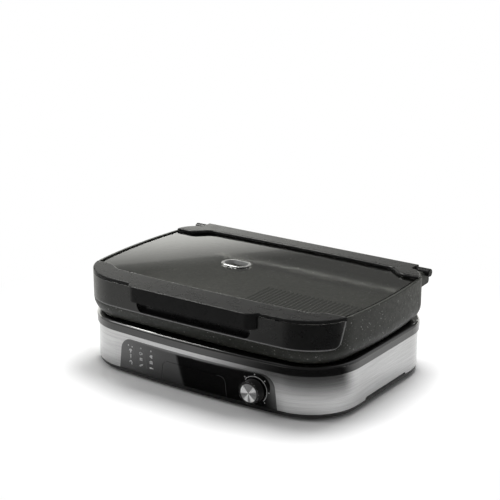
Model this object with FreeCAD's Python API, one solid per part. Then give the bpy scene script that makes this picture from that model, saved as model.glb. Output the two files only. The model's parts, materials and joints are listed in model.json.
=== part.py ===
import FreeCAD, Part
import math
import os

# Table grill: heated base with drip tray and knob, lift-off pan, hinged glass lid
# Millimetres, +X right, +Y back, +Z up; built about the middle of the base, then centred on its bounding box

# Driving dimensions: base outline and heights
base_width = 480.0
base_depth = 347.0
base_front_bow = 14.0
base_side_bow = 1.0
base_corner_radius = 85.0
foot_height = 5.0
tray_lip_height = 7.0
band_height = 61.0
ring_height = 15.6

# Driving dimensions: pan outline and heights
pan_overhang = 7.5
pan_front_overhang = 3.5
pan_rear_setback = 30.0
pan_widest_back = -1.0
pan_side_radius = 850.0
pan_end_radius = 3990.0
pan_front_corner = 82.6
pan_rear_corner = 40.0
pan_height = 75.0
pan_sink = 2.6
pan_bottom_radius = 30.0

# General clearances
overrun = 20.0
panel_gap = 0.35
drawer_gap = 0.5
running_gap = 0.06
screw_gap = 0.1
same_place = 0.01

# Base tray
tray_floor = 3.0
tray_wall = 2.2
tray_lip_inset = 0.6
band_gap = 0.4
tray_edge_radius = 4.0
floor_boss_radius = 8.0
floor_boss_height = 3.0

# Rubber feet
foot_radius = 12.0
foot_edge = 1.0
foot_stem_radius = 5.0
foot_stem_height = 4.0
foot_side_inset = 24.0
foot_end_inset = 95.5

# Steel band
band_thickness = 1.0
notch_front = -57.0
notch_rear = 64.0
notch_depth = 4.0
notch_slope = 6.0

# Control panel
panel_thickness = 3.0
panel_half_bottom = 151.0
panel_half_top = 145.0
panel_corner = 22.0
panel_foot_gap = 1.0
panel_head_gap = 8.6
panel_tab_width = 12.0
panel_tab_depth = 16.0
panel_tab_thickness = 3.0
panel_tab_drawer_gap = 13.0
panel_tab_end_inset = 9.0
panel_screw_radius = 1.5
panel_screw_head_radius = 3.0
panel_screw_head = 1.6
panel_screw_length = 7.0

# Drip tray
drawer_half_bottom = 63.0
drawer_half_top = 60.0
drawer_corner = 11.0
drawer_top_height = 33.3
tub_side_inset = 6.0
tub_length = 185.0
tub_top_drop = 4.3
tub_wall = 1.5
tub_corner = 8.0
tub_lift = 6.0
tub_gap = 0.3
rail_wall = 2.0
rail_shelf = 10.0
rail_height = 18.0

# Top ring
ring_proud = 2.6
ring_edge_radius = 5.0
ring_shell = 2.6
ring_wall = 4.6
well_inset = 15.0
well_wall = 2.5
ledge_drop = 8.1
ledge_reach = 3.0
ledge_thickness = 2.5
ring_boss_radius = 5.0
side_boss_inset = 34.0
side_boss_y = 30.0
rear_boss_x = 110.0
rear_boss_inset = 24.0
base_screw_radius = 2.0
base_screw_head_radius = 4.0
base_screw_head = 2.4
base_screw_length = 18.0

# Heat reflector
reflector_sheet = 0.8
reflector_rim_inset = 17.0
reflector_wall_inset = 44.0
reflector_corner = 24.0
reflector_rise = 13.5
funnel_radius = 16.0
funnel_length = 24.0
reflector_screw_inset = 22.0
reflector_screw_y = 62.0
reflector_screw_radius = 1.5
reflector_screw_head_radius = 3.0
reflector_screw_head = 1.5

# Heating element and its clips
heater_radius = 4.0
heater_gap = 0.4
heater_bend = 20.0
heater_end_x = 24.0
heater_rear_inset = 19.5
heater_front_inset = 33.0
heater_side_inset = 18.5
heater_middle_x = 110.0
heater_inner_x = 40.0
heater_middle_y = 44.0
heater_inner_y = -62.0
heater_hole_radius = 6.0
clip_length = 8.0
clip_width = 12.0

# Terminal block and thermal fuse
block_length = 76.0
block_depth = 26.0
block_height = 16.0
block_drop = 32.0
block_socket = 12.0
block_post_radius = 4.0
block_post_x = 32.0
fuse_radius = 4.0
fuse_length = 24.0
fuse_x = 60.0
fuse_y = 20.0
fuse_strap = 1.0
fuse_strap_width = 8.0

# Knob, shaft and thermostat
knob_panel_inset = 38.5
knob_rise = 23.5
knob_radius = 17.6
knob_base_radius = 18.4
knob_gap = 2.2
knob_length = 14.0
knob_ring_radius = 18.3
knob_ring_length = 1.2
knob_ring_width = 1.5
knob_cap_radius = 14.4
knob_cap_thickness = 1.6
knob_cap_rise = 0.5
shaft_radius = 3.0
shaft_depth_in_knob = 9.0
shaft_depth_in_body = 18.0
bush_radius = 5.0
thermostat_width = 44.0
thermostat_depth = 30.0
thermostat_height = 40.0
thermostat_setback = 6.0
bracket_width = 66.0
bracket_height = 32.0
bracket_thickness = 2.0
bracket_screw_offset = 28.0
bracket_boss_radius = 4.0
bracket_screw_radius = 1.5
bracket_screw_head_radius = 2.8
bracket_screw_head = 1.6
bracket_screw_bite = 3.5

# Power inlet
inlet_rise = 28.0
inlet_flange_width = 38.0
inlet_flange_height = 30.0
inlet_flange = 2.5
inlet_width = 30.0
inlet_depth = 26.0
inlet_tall = 22.0
inlet_wall = 3.0
inlet_socket_depth = 20.0
inlet_corner = 4.0
pin_width = 2.0
pin_tall = 5.0
pin_length = 15.0
pin_spacing = 7.0
pin_step = 3.0

# Lead wires
wire_radius = 1.3
wire_bend = 9.0
wire_side_room = 10.0

# Pan walls, floor, ribs and drain
pan_wall = 4.6
pan_floor = 4.5
pan_floor_rise = 30.0
pan_front_deck = 34.0
pan_cavity_corner = 30.0
pan_foot_radius = 18.0
pan_skirt = 6.0
groove_inset = 18.0
recess_gap = 8.0
pan_rim_edge = 1.2
rib_pitch = 8.0
rib_width = 4.4
rib_crest = 2.4
rib_height = 2.6
rib_first_x = -4.0
rib_rear_inset = 104.0
rib_side_inset = 42.5
rib_inset = 24.0
drain_front_inset = 47.0
drain_radius = 7.0
drain_wall = 3.0
drain_spout = 18.0
pad_width = 10.0
pad_length = 26.0
pad_y = 40.0

# Front cover of the pan
cover_wall = 2.2
cover_edge = 1.2
cover_bottom_rise = 28.5
cover_top_drop = 5.0
cover_side_length = 62.0
cover_end_slope = 12.0
cover_end_corner = 16.0
cover_gap = 0.4
cover_flange = 2.0
cover_flange_drop = 11.0
scoop_half_width = 108.0
scoop_depth = 14.0
scoop_bottom_rise = 2.6
scoop_top_gap = 2.5
scoop_radius = 12.0
pocket_inset = 10.0
pocket_depth = 11.5
lug_radius = 6.0
lug_height = 20.0
lug_inner_x = 60.0
lug_outer_x = 150.0
cover_screw_radius = 1.9
cover_screw_head_radius = 3.6
cover_screw_head = 1.2
cover_screw_length = 12.0

# Hinge ears of the pan and the hinge barrel
hinge_setback = 8.0
hinge_drop = 4.5
barrel_radius = 6.5
barrel_end_inset = 13.5
barrel_end_edge = 1.2
ear_inner_inset = 37.0
ear_outer_inset = 21.0
ear_root = 35.5
ear_prong = 2.6
ear_top_drop = 0.8
ear_height = 23.5
ear_slope = 3.0
ear_slot_room = 6.0
ear_corner = 5.0
hinge_rod_radius = 2.0
hinge_rod_end = 4.0

# Lid glass and vent
glass_thickness = 4.0
glass_drop = 1.6
glass_inset = 7.5
glass_front_inset = 27.0
glass_front_corner = 60.0
glass_rear_corner = 26.0
vent_x = -44.0
vent_y = 4.0
vent_length = 52.0
vent_width = 33.0
vent_rim = 3.2
vent_rim_height = 1.8
vent_collar = 1.2
vent_clip_height = 1.2

# Lid front frame with the handle tongue
frame_rise = 1.0
frame_plate = 2.0
frame_lip = 2.8
frame_lip_wall = 2.5
frame_edge = 1.6
frame_end_depth = 34.0
frame_waist_depth = 19.0
frame_middle_depth = 11.0
frame_waist_inset = 65.5
frame_end_inset = 40.5
frame_curve = 26.0
frame_bow_share = 0.8
tongue_reach = 11.5
tongue_half_width = 121.0
tongue_corner = 17.0
tongue_root_radius = 8.0
skirt_wall = 3.0
skirt_drop = 25.0
skirt_gap = 0.8
front_clamp_depth = 18.0
clamp_thickness = 2.8
clamp_end_x = 165.0
clamp_screw_radius = 1.4
clamp_screw_head_radius = 2.6
clamp_screw_head = 1.2
clamp_screw_inner_x = 40.0
clamp_screw_outer_x = 125.0
clamp_screw_edge = 4.0
gasket_width = 8.0
lid_pad_radius = 5.0
lid_pad_x = 150.0
lid_pad_inset = 12.0

# Lid rear frame
rear_frame_rise = 4.0
rear_frame_inset = 3.0
rear_frame_middle_depth = 8.0
rear_frame_waist_depth = 14.0
rear_frame_end_depth = 36.0
rear_frame_waist_inset = 67.5
rear_frame_end_inset = 42.5
rear_frame_curve = 22.0
rear_frame_bow_share = 0.75
rear_frame_edge = 2.4
rear_bridge_side_gap = 1.5
rear_bridge_gap = 0.6
rear_bridge_edge = 3.0

# Derived levels
tray_z = foot_height
floor_z = tray_z + tray_floor
band_z = tray_z + tray_lip_height
ring_z = band_z + band_height
ring_top_z = ring_z + ring_height
pan_z = ring_top_z - pan_sink
rim_z = pan_z + pan_height
ledge_z = ring_top_z - ledge_drop
flange_z = ledge_z + reflector_sheet
plateau_z = ledge_z + reflector_rise
panel_z = band_z + panel_foot_gap
panel_top_z = ring_z - panel_head_gap
pan_floor_z = pan_z + pan_floor_rise
pan_under_z = pan_floor_z - pan_floor
heater_z = pan_under_z - heater_gap - heater_radius
block_top_z = plateau_z - block_drop
tub_z = floor_z + tub_lift
drawer_top_z = band_z + drawer_top_height
tub_height = drawer_top_z - tub_top_drop - tub_z
knob_height = panel_z + knob_rise
inlet_height = band_z + inlet_rise
cover_z = pan_z + cover_bottom_rise
cover_top_z = rim_z - cover_top_drop
cover_flange_z = rim_z - cover_flange_drop
scoop_z = cover_z + scoop_bottom_rise
scoop_top_z = cover_flange_z - scoop_top_gap
glass_top_z = rim_z - glass_drop
glass_z = glass_top_z - glass_thickness
frame_top_z = rim_z + frame_rise
frame_plate_z = frame_top_z - frame_plate
frame_lip_z = frame_plate_z - frame_lip
clamp_z = glass_z - clamp_thickness
rear_frame_top_z = rim_z + rear_frame_rise
rear_frame_z = frame_plate_z
hinge_z = rim_z - hinge_drop

# Derived places
pan_width = base_width + 2 * pan_overhang
pan_half = pan_width / 2
pan_front_reach = base_depth / 2 + pan_front_overhang
pan_rear_reach = base_depth / 2 - pan_rear_setback
tray_wall_inset = band_thickness + band_gap
foot_x = base_width / 2 - foot_side_inset
foot_y = base_depth / 2 - foot_end_inset
tub_half_width = drawer_half_top - tub_side_inset
knob_x = panel_half_bottom - knob_panel_inset
heater_outer_x = pan_half - reflector_wall_inset - heater_side_inset
heater_rear_y = pan_rear_reach - reflector_wall_inset - heater_rear_inset
heater_front_y = reflector_wall_inset + heater_front_inset - pan_front_reach
rib_last_x = pan_half - rib_side_inset
rib_rear_y = pan_rear_reach - rib_rear_inset
drain_y = pan_front_deck + drain_front_inset - pan_front_reach
cover_end_front = pan_front_reach - cover_side_length
hinge_back = pan_rear_reach + hinge_setback
barrel_half_length = pan_half - barrel_end_inset
ear_inner_x = pan_half - ear_inner_inset
ear_outer_x = pan_half - ear_outer_inset
ear_front = pan_rear_reach - ear_root
glass_front = pan_front_reach - glass_front_inset
glass_rear = pan_rear_reach - glass_inset
frame_end_front = glass_front - frame_end_depth
frame_waist_front = glass_front - frame_waist_depth
frame_middle_front = glass_front - frame_middle_depth
frame_waist_x = pan_half - frame_waist_inset
frame_end_x = pan_half - frame_end_inset
lid_pad_front = pan_front_reach - lid_pad_inset
rear_frame_front = glass_rear - rear_frame_middle_depth
rear_frame_waist = glass_rear - rear_frame_waist_depth
rear_frame_end = glass_rear - rear_frame_end_depth
rear_frame_waist_x = pan_half - rear_frame_waist_inset
rear_frame_end_x = pan_half - rear_frame_end_inset
rear_bridge_half = ear_inner_x - rear_bridge_side_gap
tongue_front = pan_front_reach + tongue_reach
far = base_width


def vec(x, y, z=0.0):
    return FreeCAD.Vector(x, y, z)


def box(x0, x1, y0, y1, z0, z1):
    return Part.makeBox(x1 - x0, y1 - y0, z1 - z0, vec(x0, y0, z0))


def rod(radius, start, end):
    return Part.makeCylinder(radius, (end - start).Length, start, end - start)


def post(radius, x, y, z0, z1):
    return rod(radius, vec(x, y, z0), vec(x, y, z1))


def mirrored(shape):
    return shape.mirror(vec(0, 0, 0), vec(1, 0, 0))


def group(shapes):
    return Part.makeCompound(shapes)


def edges_at(shape, z):
    """Edges that lie in the level plane z."""
    return [edge for edge in shape.Edges
            if abs(edge.BoundBox.ZMin - z) < same_place and abs(edge.BoundBox.ZMax - z) < same_place]


def rounded_wire(corners):
    """Closed wire through (x, y, radius) corners in the XY plane, each corner rounded by a tangent arc."""
    edges = []
    count = len(corners)
    starts, ends, middles = [], [], []
    for i, (x, y, radius) in enumerate(corners):
        here = vec(x, y)
        before = vec(*corners[i - 1][:2])
        after = vec(*corners[(i + 1) % count][:2])
        incoming = (here - before).normalize()
        outgoing = (after - here).normalize()
        turn = incoming.getAngle(outgoing)
        reach = radius * math.tan(turn / 2)
        starts.append(here - incoming * reach)
        ends.append(here + outgoing * reach)
        inward = outgoing - incoming
        if radius and inward.Length:
            inward.normalize()
            middles.append(here + inward * (radius / math.cos(turn / 2) - radius))
        else:
            middles.append(None)
    for i in range(count):
        if middles[i]:
            edges.append(Part.Arc(starts[i], middles[i], ends[i]).toShape())
        edges.append(Part.makeLine(ends[i], starts[(i + 1) % count]))
    return Part.Wire(edges)


def slab(wire, z0, z1):
    """Solid over a closed wire drawn in the XY plane."""
    face = Part.Face(wire)
    face.translate(vec(0, 0, z0))
    return face.extrude(vec(0, 0, z1 - z0))


def upright(wire, y0, y1):
    """Solid along Y from a wire whose x and y are the object's X and Z."""
    face = Part.Face(wire)
    face.rotate(vec(0, 0, 0), vec(1, 0, 0), 90)
    face.translate(vec(0, y0, 0))
    return face.extrude(vec(0, y1 - y0, 0))


def sideways(wire, x0, x1):
    """Solid along X from a wire whose x and y are the object's Y and Z."""
    face = Part.Face(wire)
    face.rotate(vec(0, 0, 0), vec(1, 1, 1), 120)
    face.translate(vec(x0, 0, 0))
    return face.extrude(vec(x1 - x0, 0, 0))


def pipe(points, radius, bend):
    """Round bar along straight runs joined by tangent arcs of one radius."""
    edges = []
    at = points[0]
    for i in range(1, len(points) - 1):
        here = points[i]
        incoming = (here - points[i - 1]).normalize()
        outgoing = (points[i + 1] - here).normalize()
        turn = incoming.getAngle(outgoing)
        reach = bend * math.tan(turn / 2)
        inward = (outgoing - incoming).normalize()
        start = here - incoming * reach
        end = here + outgoing * reach
        middle = here + inward * (bend / math.cos(turn / 2) - bend)
        edges.append(Part.makeLine(at, start))
        edges.append(Part.Arc(start, middle, end).toShape())
        at = end
    edges.append(Part.makeLine(at, points[-1]))
    path = Part.Wire(edges)
    section = Part.Wire(Part.makeCircle(radius, points[0], (points[1] - points[0]).normalize()))
    return path.makePipeShell([section], True, False)


def circles_meet(a, radius_a, b, radius_b, forward):
    """The crossing of two circles with the larger x, taken on the front or the rear side."""
    gap = b - a
    along = (radius_a ** 2 - radius_b ** 2 + gap.Length ** 2) / (2 * gap.Length)
    across = math.sqrt(radius_a ** 2 - along ** 2)
    axis = vec(gap.x, gap.y).normalize()
    side = vec(-axis.y, axis.x)
    found = [a + axis * along + side * across, a + axis * along - side * across]
    found = [point for point in found if point.x > 0]
    return min(found, key=lambda point: point.y) if forward else max(found, key=lambda point: point.y)


class Outline:
    """Level outline of four large arcs joined by corner arcs, the same on the left and the right."""

    def __init__(self, half_width, widest_back, side_radius, front, rear, end_radius,
                 front_corner, rear_corner):
        self.front_centre = vec(0, -front + end_radius)
        self.rear_centre = vec(0, rear - end_radius)
        self.side_centre = vec(half_width - side_radius, widest_back)
        self.end_radius = end_radius
        self.side_radius = side_radius
        self.front_corner = front_corner
        self.rear_corner = rear_corner
        self.front_knuckle = circles_meet(self.front_centre, end_radius - front_corner,
                                          self.side_centre, side_radius - front_corner, True)
        self.rear_knuckle = circles_meet(self.rear_centre, end_radius - rear_corner,
                                         self.side_centre, side_radius - rear_corner, False)

    def arcs(self):
        """Right-hand arcs from front to rear as (centre, radius, start angle, end angle)."""
        def angle(centre, point):
            return math.atan2(point.y - centre.y, point.x - centre.x)
        front_angle = angle(self.front_centre, self.front_knuckle)
        low_angle = angle(self.side_centre, self.front_knuckle)
        high_angle = angle(self.side_centre, self.rear_knuckle)
        rear_angle = angle(self.rear_centre, self.rear_knuckle)
        return [(self.front_centre, self.end_radius, -math.pi / 2, front_angle),
                (self.front_knuckle, self.front_corner, front_angle, low_angle),
                (self.side_centre, self.side_radius, low_angle, high_angle),
                (self.rear_knuckle, self.rear_corner, high_angle, rear_angle),
                (self.rear_centre, self.end_radius, rear_angle, math.pi / 2)]

    def wire(self, inset):
        def at(centre, radius, turn):
            return centre + vec(math.cos(turn), math.sin(turn)) * (radius - inset)
        right = []
        for centre, radius, start, end in self.arcs():
            right.append([at(centre, radius, turn) for turn in (start, (start + end) / 2, end)])
        left = [[vec(-point.x, point.y) for point in reversed(arc)] for arc in reversed(right)]
        return Part.Wire([Part.Arc(*arc).toShape() for arc in right + left])

    def prism(self, inset, z0, z1):
        return slab(self.wire(inset), z0, z1)

    def tube(self, outer, inner, z0, z1):
        return self.prism(outer, z0, z1).cut(self.prism(inner, z0 - overrun, z1 + overrun))

    def front_at(self, x, inset):
        radius = self.end_radius - inset
        return self.front_centre.y - math.sqrt(radius ** 2 - x ** 2)

    def side_at(self, y, inset):
        radius = self.side_radius - inset
        return self.side_centre.x + math.sqrt(radius ** 2 - (y - self.side_centre.y) ** 2)


def bow_radius(half_chord, bow):
    return (half_chord ** 2 + bow ** 2) / (2 * bow)


base_outline = Outline(base_width / 2, 0, bow_radius(base_depth / 2, base_side_bow),
                       base_depth / 2, base_depth / 2, bow_radius(base_width / 2, base_front_bow),
                       base_corner_radius, base_corner_radius)
pan_outline = Outline(pan_half, pan_widest_back, pan_side_radius, pan_front_reach, pan_rear_reach,
                      pan_end_radius, pan_front_corner, pan_rear_corner)
cavity_outline = Outline(pan_half - pan_wall, pan_widest_back, pan_side_radius - pan_wall,
                         pan_front_reach - pan_front_deck, pan_rear_reach - pan_wall,
                         pan_end_radius, pan_cavity_corner, pan_rear_corner - pan_wall)
hearth_outline = Outline(pan_half - reflector_wall_inset, pan_widest_back,
                         pan_side_radius - reflector_wall_inset, pan_front_reach - reflector_wall_inset,
                         pan_rear_reach - reflector_wall_inset, pan_end_radius,
                         pan_front_corner - reflector_wall_inset, reflector_corner)
glass_outline = Outline(pan_half - glass_inset, pan_widest_back, pan_side_radius - glass_inset,
                        glass_front, glass_rear, pan_end_radius, glass_front_corner, glass_rear_corner)

side_boss_x = pan_outline.side_at(side_boss_y, side_boss_inset)
rear_boss_y = base_depth / 2 - rear_boss_inset
boss_places = [(side * side_boss_x, y) for side in (-1, 1) for y in (-side_boss_y, side_boss_y)]
boss_places += [(side * rear_boss_x, rear_boss_y) for side in (-1, 1)]
foot_places = [(side_x * foot_x, side_y * foot_y) for side_x in (-1, 1) for side_y in (-1, 1)]
tab_inner_x = drawer_half_bottom + panel_tab_drawer_gap
tab_outer_x = panel_half_bottom - panel_tab_end_inset
tab_places = [-tab_outer_x, -tab_inner_x, tab_inner_x, tab_outer_x]
knob_face = base_depth / 2 - base_front_bow * (2 * knob_x / base_width) ** 2
knob_root = -knob_face - knob_gap
bracket_front = -knob_face + panel_thickness + thermostat_setback - bracket_thickness
thermostat_front = bracket_front + bracket_thickness
bracket_screw_places = [knob_x - bracket_screw_offset, knob_x + bracket_screw_offset]
inlet_face = base_depth / 2
inlet_back = inlet_face - inlet_depth


def arch(half_bottom, half_top, z0, z1, corner, gap=0.0, below=0.0):
    """Front view of a panel with a rounded top, grown by a gap and run on below its foot."""
    flare = (half_bottom - half_top) / (z1 - z0) * below
    foot = half_bottom + gap + flare
    head = half_top + gap
    return rounded_wire([(foot, z0 - below, 0), (head, z1 + gap, corner + gap),
                         (-head, z1 + gap, corner + gap), (-foot, z0 - below, 0)])


def panel_arch(gap, below=0.0):
    wire = arch(panel_half_bottom, panel_half_top, panel_z, panel_top_z, panel_corner, gap, below)
    return upright(wire, -far, 0)


def drawer_arch(gap, below=0.0):
    wire = arch(drawer_half_bottom, drawer_half_top, panel_z, drawer_top_z, drawer_corner, gap, below)
    return upright(wire, -far, 0)


def inlet_hole():
    half = inlet_width / 2 + drawer_gap
    tall = inlet_tall / 2 + drawer_gap
    return box(-half, half, inlet_back, far, inlet_height - tall, inlet_height + tall)


def level_rod(radius, x, y0, y1):
    """Round bar along Y at the height of the knob."""
    return rod(radius, vec(x, y0, knob_height), vec(x, y1, knob_height))


def make_base_tray():
    lip = base_outline.prism(tray_lip_inset, tray_z, band_z)
    lip = lip.makeFillet(tray_edge_radius, edges_at(lip, tray_z))
    wall = base_outline.prism(tray_wall_inset, tray_z + tray_edge_radius, ring_z)
    tray = lip.fuse(wall)
    tray = tray.cut(base_outline.prism(tray_wall_inset + tray_wall, floor_z, ring_z + overrun))
    tray = tray.cut(panel_arch(panel_gap, 0).common(box(-far, far, -far, 0, panel_z - panel_gap, ring_z)))
    tray = tray.cut(inlet_hole())
    boss_top = floor_z + floor_boss_height
    for x, y in boss_places:
        tray = tray.fuse(post(floor_boss_radius, x, y, tray_z, boss_top))
    for x, y in boss_places:
        tray = tray.cut(post(base_screw_head_radius + screw_gap, x, y, tray_z - overrun, floor_z))
        tray = tray.cut(post(base_screw_radius + screw_gap, x, y, tray_z, boss_top + overrun))
    for x, y in foot_places:
        tray = tray.cut(post(foot_stem_radius, x, y, tray_z - overrun, tray_z + foot_stem_height))
    for x in (-block_post_x, block_post_x):
        tray = tray.fuse(post(block_post_radius, x, heater_rear_y, tray_z, block_top_z - block_height))
    for x in tab_places:
        y = tab_y(x)
        tray = tray.fuse(post(panel_tab_width / 2, x, y, tray_z, panel_z))
        tray = tray.cut(post(panel_screw_radius + screw_gap, x, y, floor_z, panel_z + overrun))
    return tray


def tab_y(x):
    """Middle of a panel tab's screw, behind the panel at x."""
    return base_outline.front_at(x, panel_thickness) + panel_tab_depth - panel_tab_width / 2


def make_rubber_feet():
    feet = []
    for x, y in foot_places:
        pad = post(foot_radius, x, y, 0, tray_z)
        pad = pad.makeFillet(foot_edge, edges_at(pad, 0))
        feet.append(pad.fuse(post(foot_stem_radius, x, y, tray_z, tray_z + foot_stem_height)))
    return group(feet)


def make_base_screws():
    screws = []
    for x, y in boss_places:
        head = post(base_screw_head_radius, x, y, floor_z - base_screw_head, floor_z)
        screws.append(head.fuse(post(base_screw_radius, x, y, floor_z, floor_z + base_screw_length)))
    return group(screws)


def make_steel_band():
    band = base_outline.tube(0, band_thickness, band_z, ring_z)
    band = band.cut(panel_arch(panel_gap, overrun))
    top = band_z + notch_depth
    low = band_z - notch_depth
    notch = rounded_wire([(notch_front - notch_slope, low, 0), (notch_front, top, notch_depth),
                          (notch_rear, top, notch_depth), (notch_rear + notch_slope, low, 0)])
    band = band.cut(sideways(notch, -far, far))
    return band.cut(inlet_hole())


def make_control_panel():
    panel = base_outline.tube(0, panel_thickness, panel_z, panel_top_z).common(panel_arch(0))
    panel = panel.cut(drawer_arch(drawer_gap, overrun))
    for x in tab_places:
        y = tab_y(x)
        front = base_outline.front_at(x, panel_thickness / 2)
        half = panel_tab_width / 2
        tab = box(x - half, x + half, front, y, panel_z, panel_z + panel_tab_thickness)
        tab = tab.fuse(post(half, x, y, panel_z, panel_z + panel_tab_thickness))
        panel = panel.fuse(tab)
        panel = panel.cut(post(panel_screw_radius + screw_gap, x, y, floor_z, panel_z + overrun))
    for x in bracket_screw_places:
        skin = base_outline.front_at(x, panel_thickness / 2)
        panel = panel.fuse(level_rod(bracket_boss_radius, x, skin, bracket_front))
        bite = bracket_front - bracket_screw_bite
        panel = panel.cut(level_rod(bracket_screw_radius, x, bite, bracket_front))
    return panel.cut(level_rod(bush_radius + panel_gap, knob_x, -far, bracket_front))


def make_panel_screws():
    screws = []
    for x in tab_places:
        y = tab_y(x)
        seat = panel_z + panel_tab_thickness
        head = post(panel_screw_head_radius, x, y, seat, seat + panel_screw_head)
        screws.append(head.fuse(post(panel_screw_radius, x, y, seat - panel_screw_length, seat)))
    return group(screws)


def make_top_ring():
    ring = base_outline.prism(-ring_proud, ring_z, ring_top_z)
    ring = ring.makeFillet(ring_edge_radius, edges_at(ring, ring_top_z))
    hollow = base_outline.prism(ring_wall - ring_proud, ring_z - overrun, ring_top_z - ring_shell)
    hollow = hollow.cut(pan_outline.prism(well_inset - well_wall, ring_z - overrun, ring_top_z))
    ring = ring.cut(hollow)
    ring = ring.cut(pan_outline.prism(well_inset, ring_z - overrun, ring_top_z + overrun))
    ledge_low = ledge_z - ledge_thickness
    ring = ring.cut(pan_outline.prism(0, ring_z - overrun, ledge_low)
                    .cut(base_outline.tube(-overrun, ring_wall - ring_proud, ring_z - overrun, ledge_low)))
    ledge = pan_outline.prism(well_inset - well_wall, ledge_low, ledge_z)
    ring = ring.fuse(ledge.cut(hearth_outline.prism(-ledge_reach, ring_z, ring_top_z)))
    boss_foot = floor_z + floor_boss_height
    for x, y in boss_places:
        roof = ring_top_z - ring_shell if y == rear_boss_y else ledge_low
        boss = post(ring_boss_radius, x, y, boss_foot, roof)
        boss = boss.cut(post(base_screw_radius, x, y, boss_foot, floor_z + base_screw_length))
        ring = ring.fuse(boss)
    return ring.removeSplitter()


def reflector_screw_places():
    places = []
    for side in (-1, 1):
        for y in (-reflector_screw_y, reflector_screw_y):
            places.append((side * pan_outline.side_at(y, reflector_screw_inset), y))
    return places


def make_heat_reflector():
    flange = pan_outline.prism(reflector_rim_inset, ledge_z, flange_z)
    sheet = flange.fuse(hearth_outline.prism(0, ledge_z, plateau_z))
    sheet = sheet.cut(hearth_outline.prism(reflector_sheet, ledge_z - overrun, plateau_z - reflector_sheet))
    inner = funnel_radius - reflector_sheet
    foot = plateau_z - funnel_length
    sheet = sheet.fuse(post(funnel_radius, 0, drain_y, foot, plateau_z))
    sheet = sheet.cut(post(inner, 0, drain_y, foot - overrun, plateau_z + overrun))
    for x in (-heater_end_x, heater_end_x):
        sheet = sheet.cut(post(heater_hole_radius, x, heater_rear_y, ledge_z, heater_z))
    for x, y in reflector_screw_places():
        sheet = sheet.cut(post(reflector_screw_radius, x, y, ledge_z, plateau_z))
    return sheet.removeSplitter()


def make_reflector_screws():
    screws = []
    for x, y in reflector_screw_places():
        head = post(reflector_screw_head_radius, x, y, flange_z, flange_z + reflector_screw_head)
        screws.append(head.fuse(post(reflector_screw_radius, x, y, ledge_z, flange_z)))
    return group(screws)


def make_heating_element():
    foot_z = block_top_z - block_socket
    half = [vec(heater_end_x, heater_rear_y, foot_z), vec(heater_end_x, heater_rear_y, heater_z),
            vec(heater_outer_x, heater_rear_y, heater_z), vec(heater_outer_x, heater_front_y, heater_z),
            vec(heater_middle_x, heater_front_y, heater_z), vec(heater_middle_x, heater_middle_y, heater_z),
            vec(heater_inner_x, heater_middle_y, heater_z), vec(heater_inner_x, heater_inner_y, heater_z)]
    other = [vec(-point.x, point.y, point.z) for point in reversed(half)]
    return pipe(half + other, heater_radius, heater_bend)


def make_heater_clips():
    clips = []
    y = (heater_middle_y + heater_inner_y) / 2
    half = clip_width / 2
    deep = clip_length / 2
    for place in (heater_inner_x, heater_middle_x, heater_outer_x):
        for x in (-place, place):
            clip = box(x - half, x + half, y - deep, y + deep, plateau_z, heater_z)
            clips.append(clip.cut(rod(heater_radius + running_gap, vec(x, y - clip_length, heater_z),
                                      vec(x, y + clip_length, heater_z))))
    return group(clips)


def make_terminal_block():
    half = block_length / 2
    deep = block_depth / 2
    low = block_top_z - block_height
    block = box(-half, half, heater_rear_y - deep, heater_rear_y + deep, low, block_top_z)
    socket = block_top_z - block_socket
    for x in (-heater_end_x, heater_end_x):
        block = block.cut(post(heater_radius + running_gap, x, heater_rear_y, socket, block_top_z))
    return block


def make_thermal_fuse():
    top = plateau_z - reflector_sheet
    half = fuse_length / 2
    middle = top - fuse_radius
    body = rod(fuse_radius, vec(fuse_x - half, fuse_y, middle), vec(fuse_x + half, fuse_y, middle))
    wide = fuse_strap_width / 2
    reach = 2 * fuse_radius
    strap = box(fuse_x - wide, fuse_x + wide, fuse_y - reach, fuse_y + reach, top - fuse_strap, top)
    return body.fuse(strap)


def make_thermostat():
    half = thermostat_width / 2
    tall = thermostat_height / 2
    body = box(knob_x - half, knob_x + half, thermostat_front, thermostat_front + thermostat_depth,
               knob_height - tall, knob_height + tall)
    body = body.fuse(level_rod(bush_radius, knob_x, -knob_face, thermostat_front))
    bore_end = thermostat_front + shaft_depth_in_body
    return body.cut(level_rod(shaft_radius + running_gap, knob_x, -far, bore_end))


def make_thermostat_bracket():
    half = bracket_width / 2
    tall = bracket_height / 2
    plate = box(knob_x - half, knob_x + half, bracket_front, thermostat_front,
                knob_height - tall, knob_height + tall)
    plate = plate.cut(level_rod(bush_radius, knob_x, -far, thermostat_front))
    for x in bracket_screw_places:
        plate = plate.cut(level_rod(bracket_screw_radius, x, bracket_front, thermostat_front))
    return plate


def make_thermostat_screws():
    screws = []
    for x in bracket_screw_places:
        head = level_rod(bracket_screw_head_radius, x, thermostat_front, thermostat_front + bracket_screw_head)
        shank = level_rod(bracket_screw_radius, x, bracket_front - bracket_screw_bite, thermostat_front)
        screws.append(head.fuse(shank))
    return group(screws)


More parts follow.
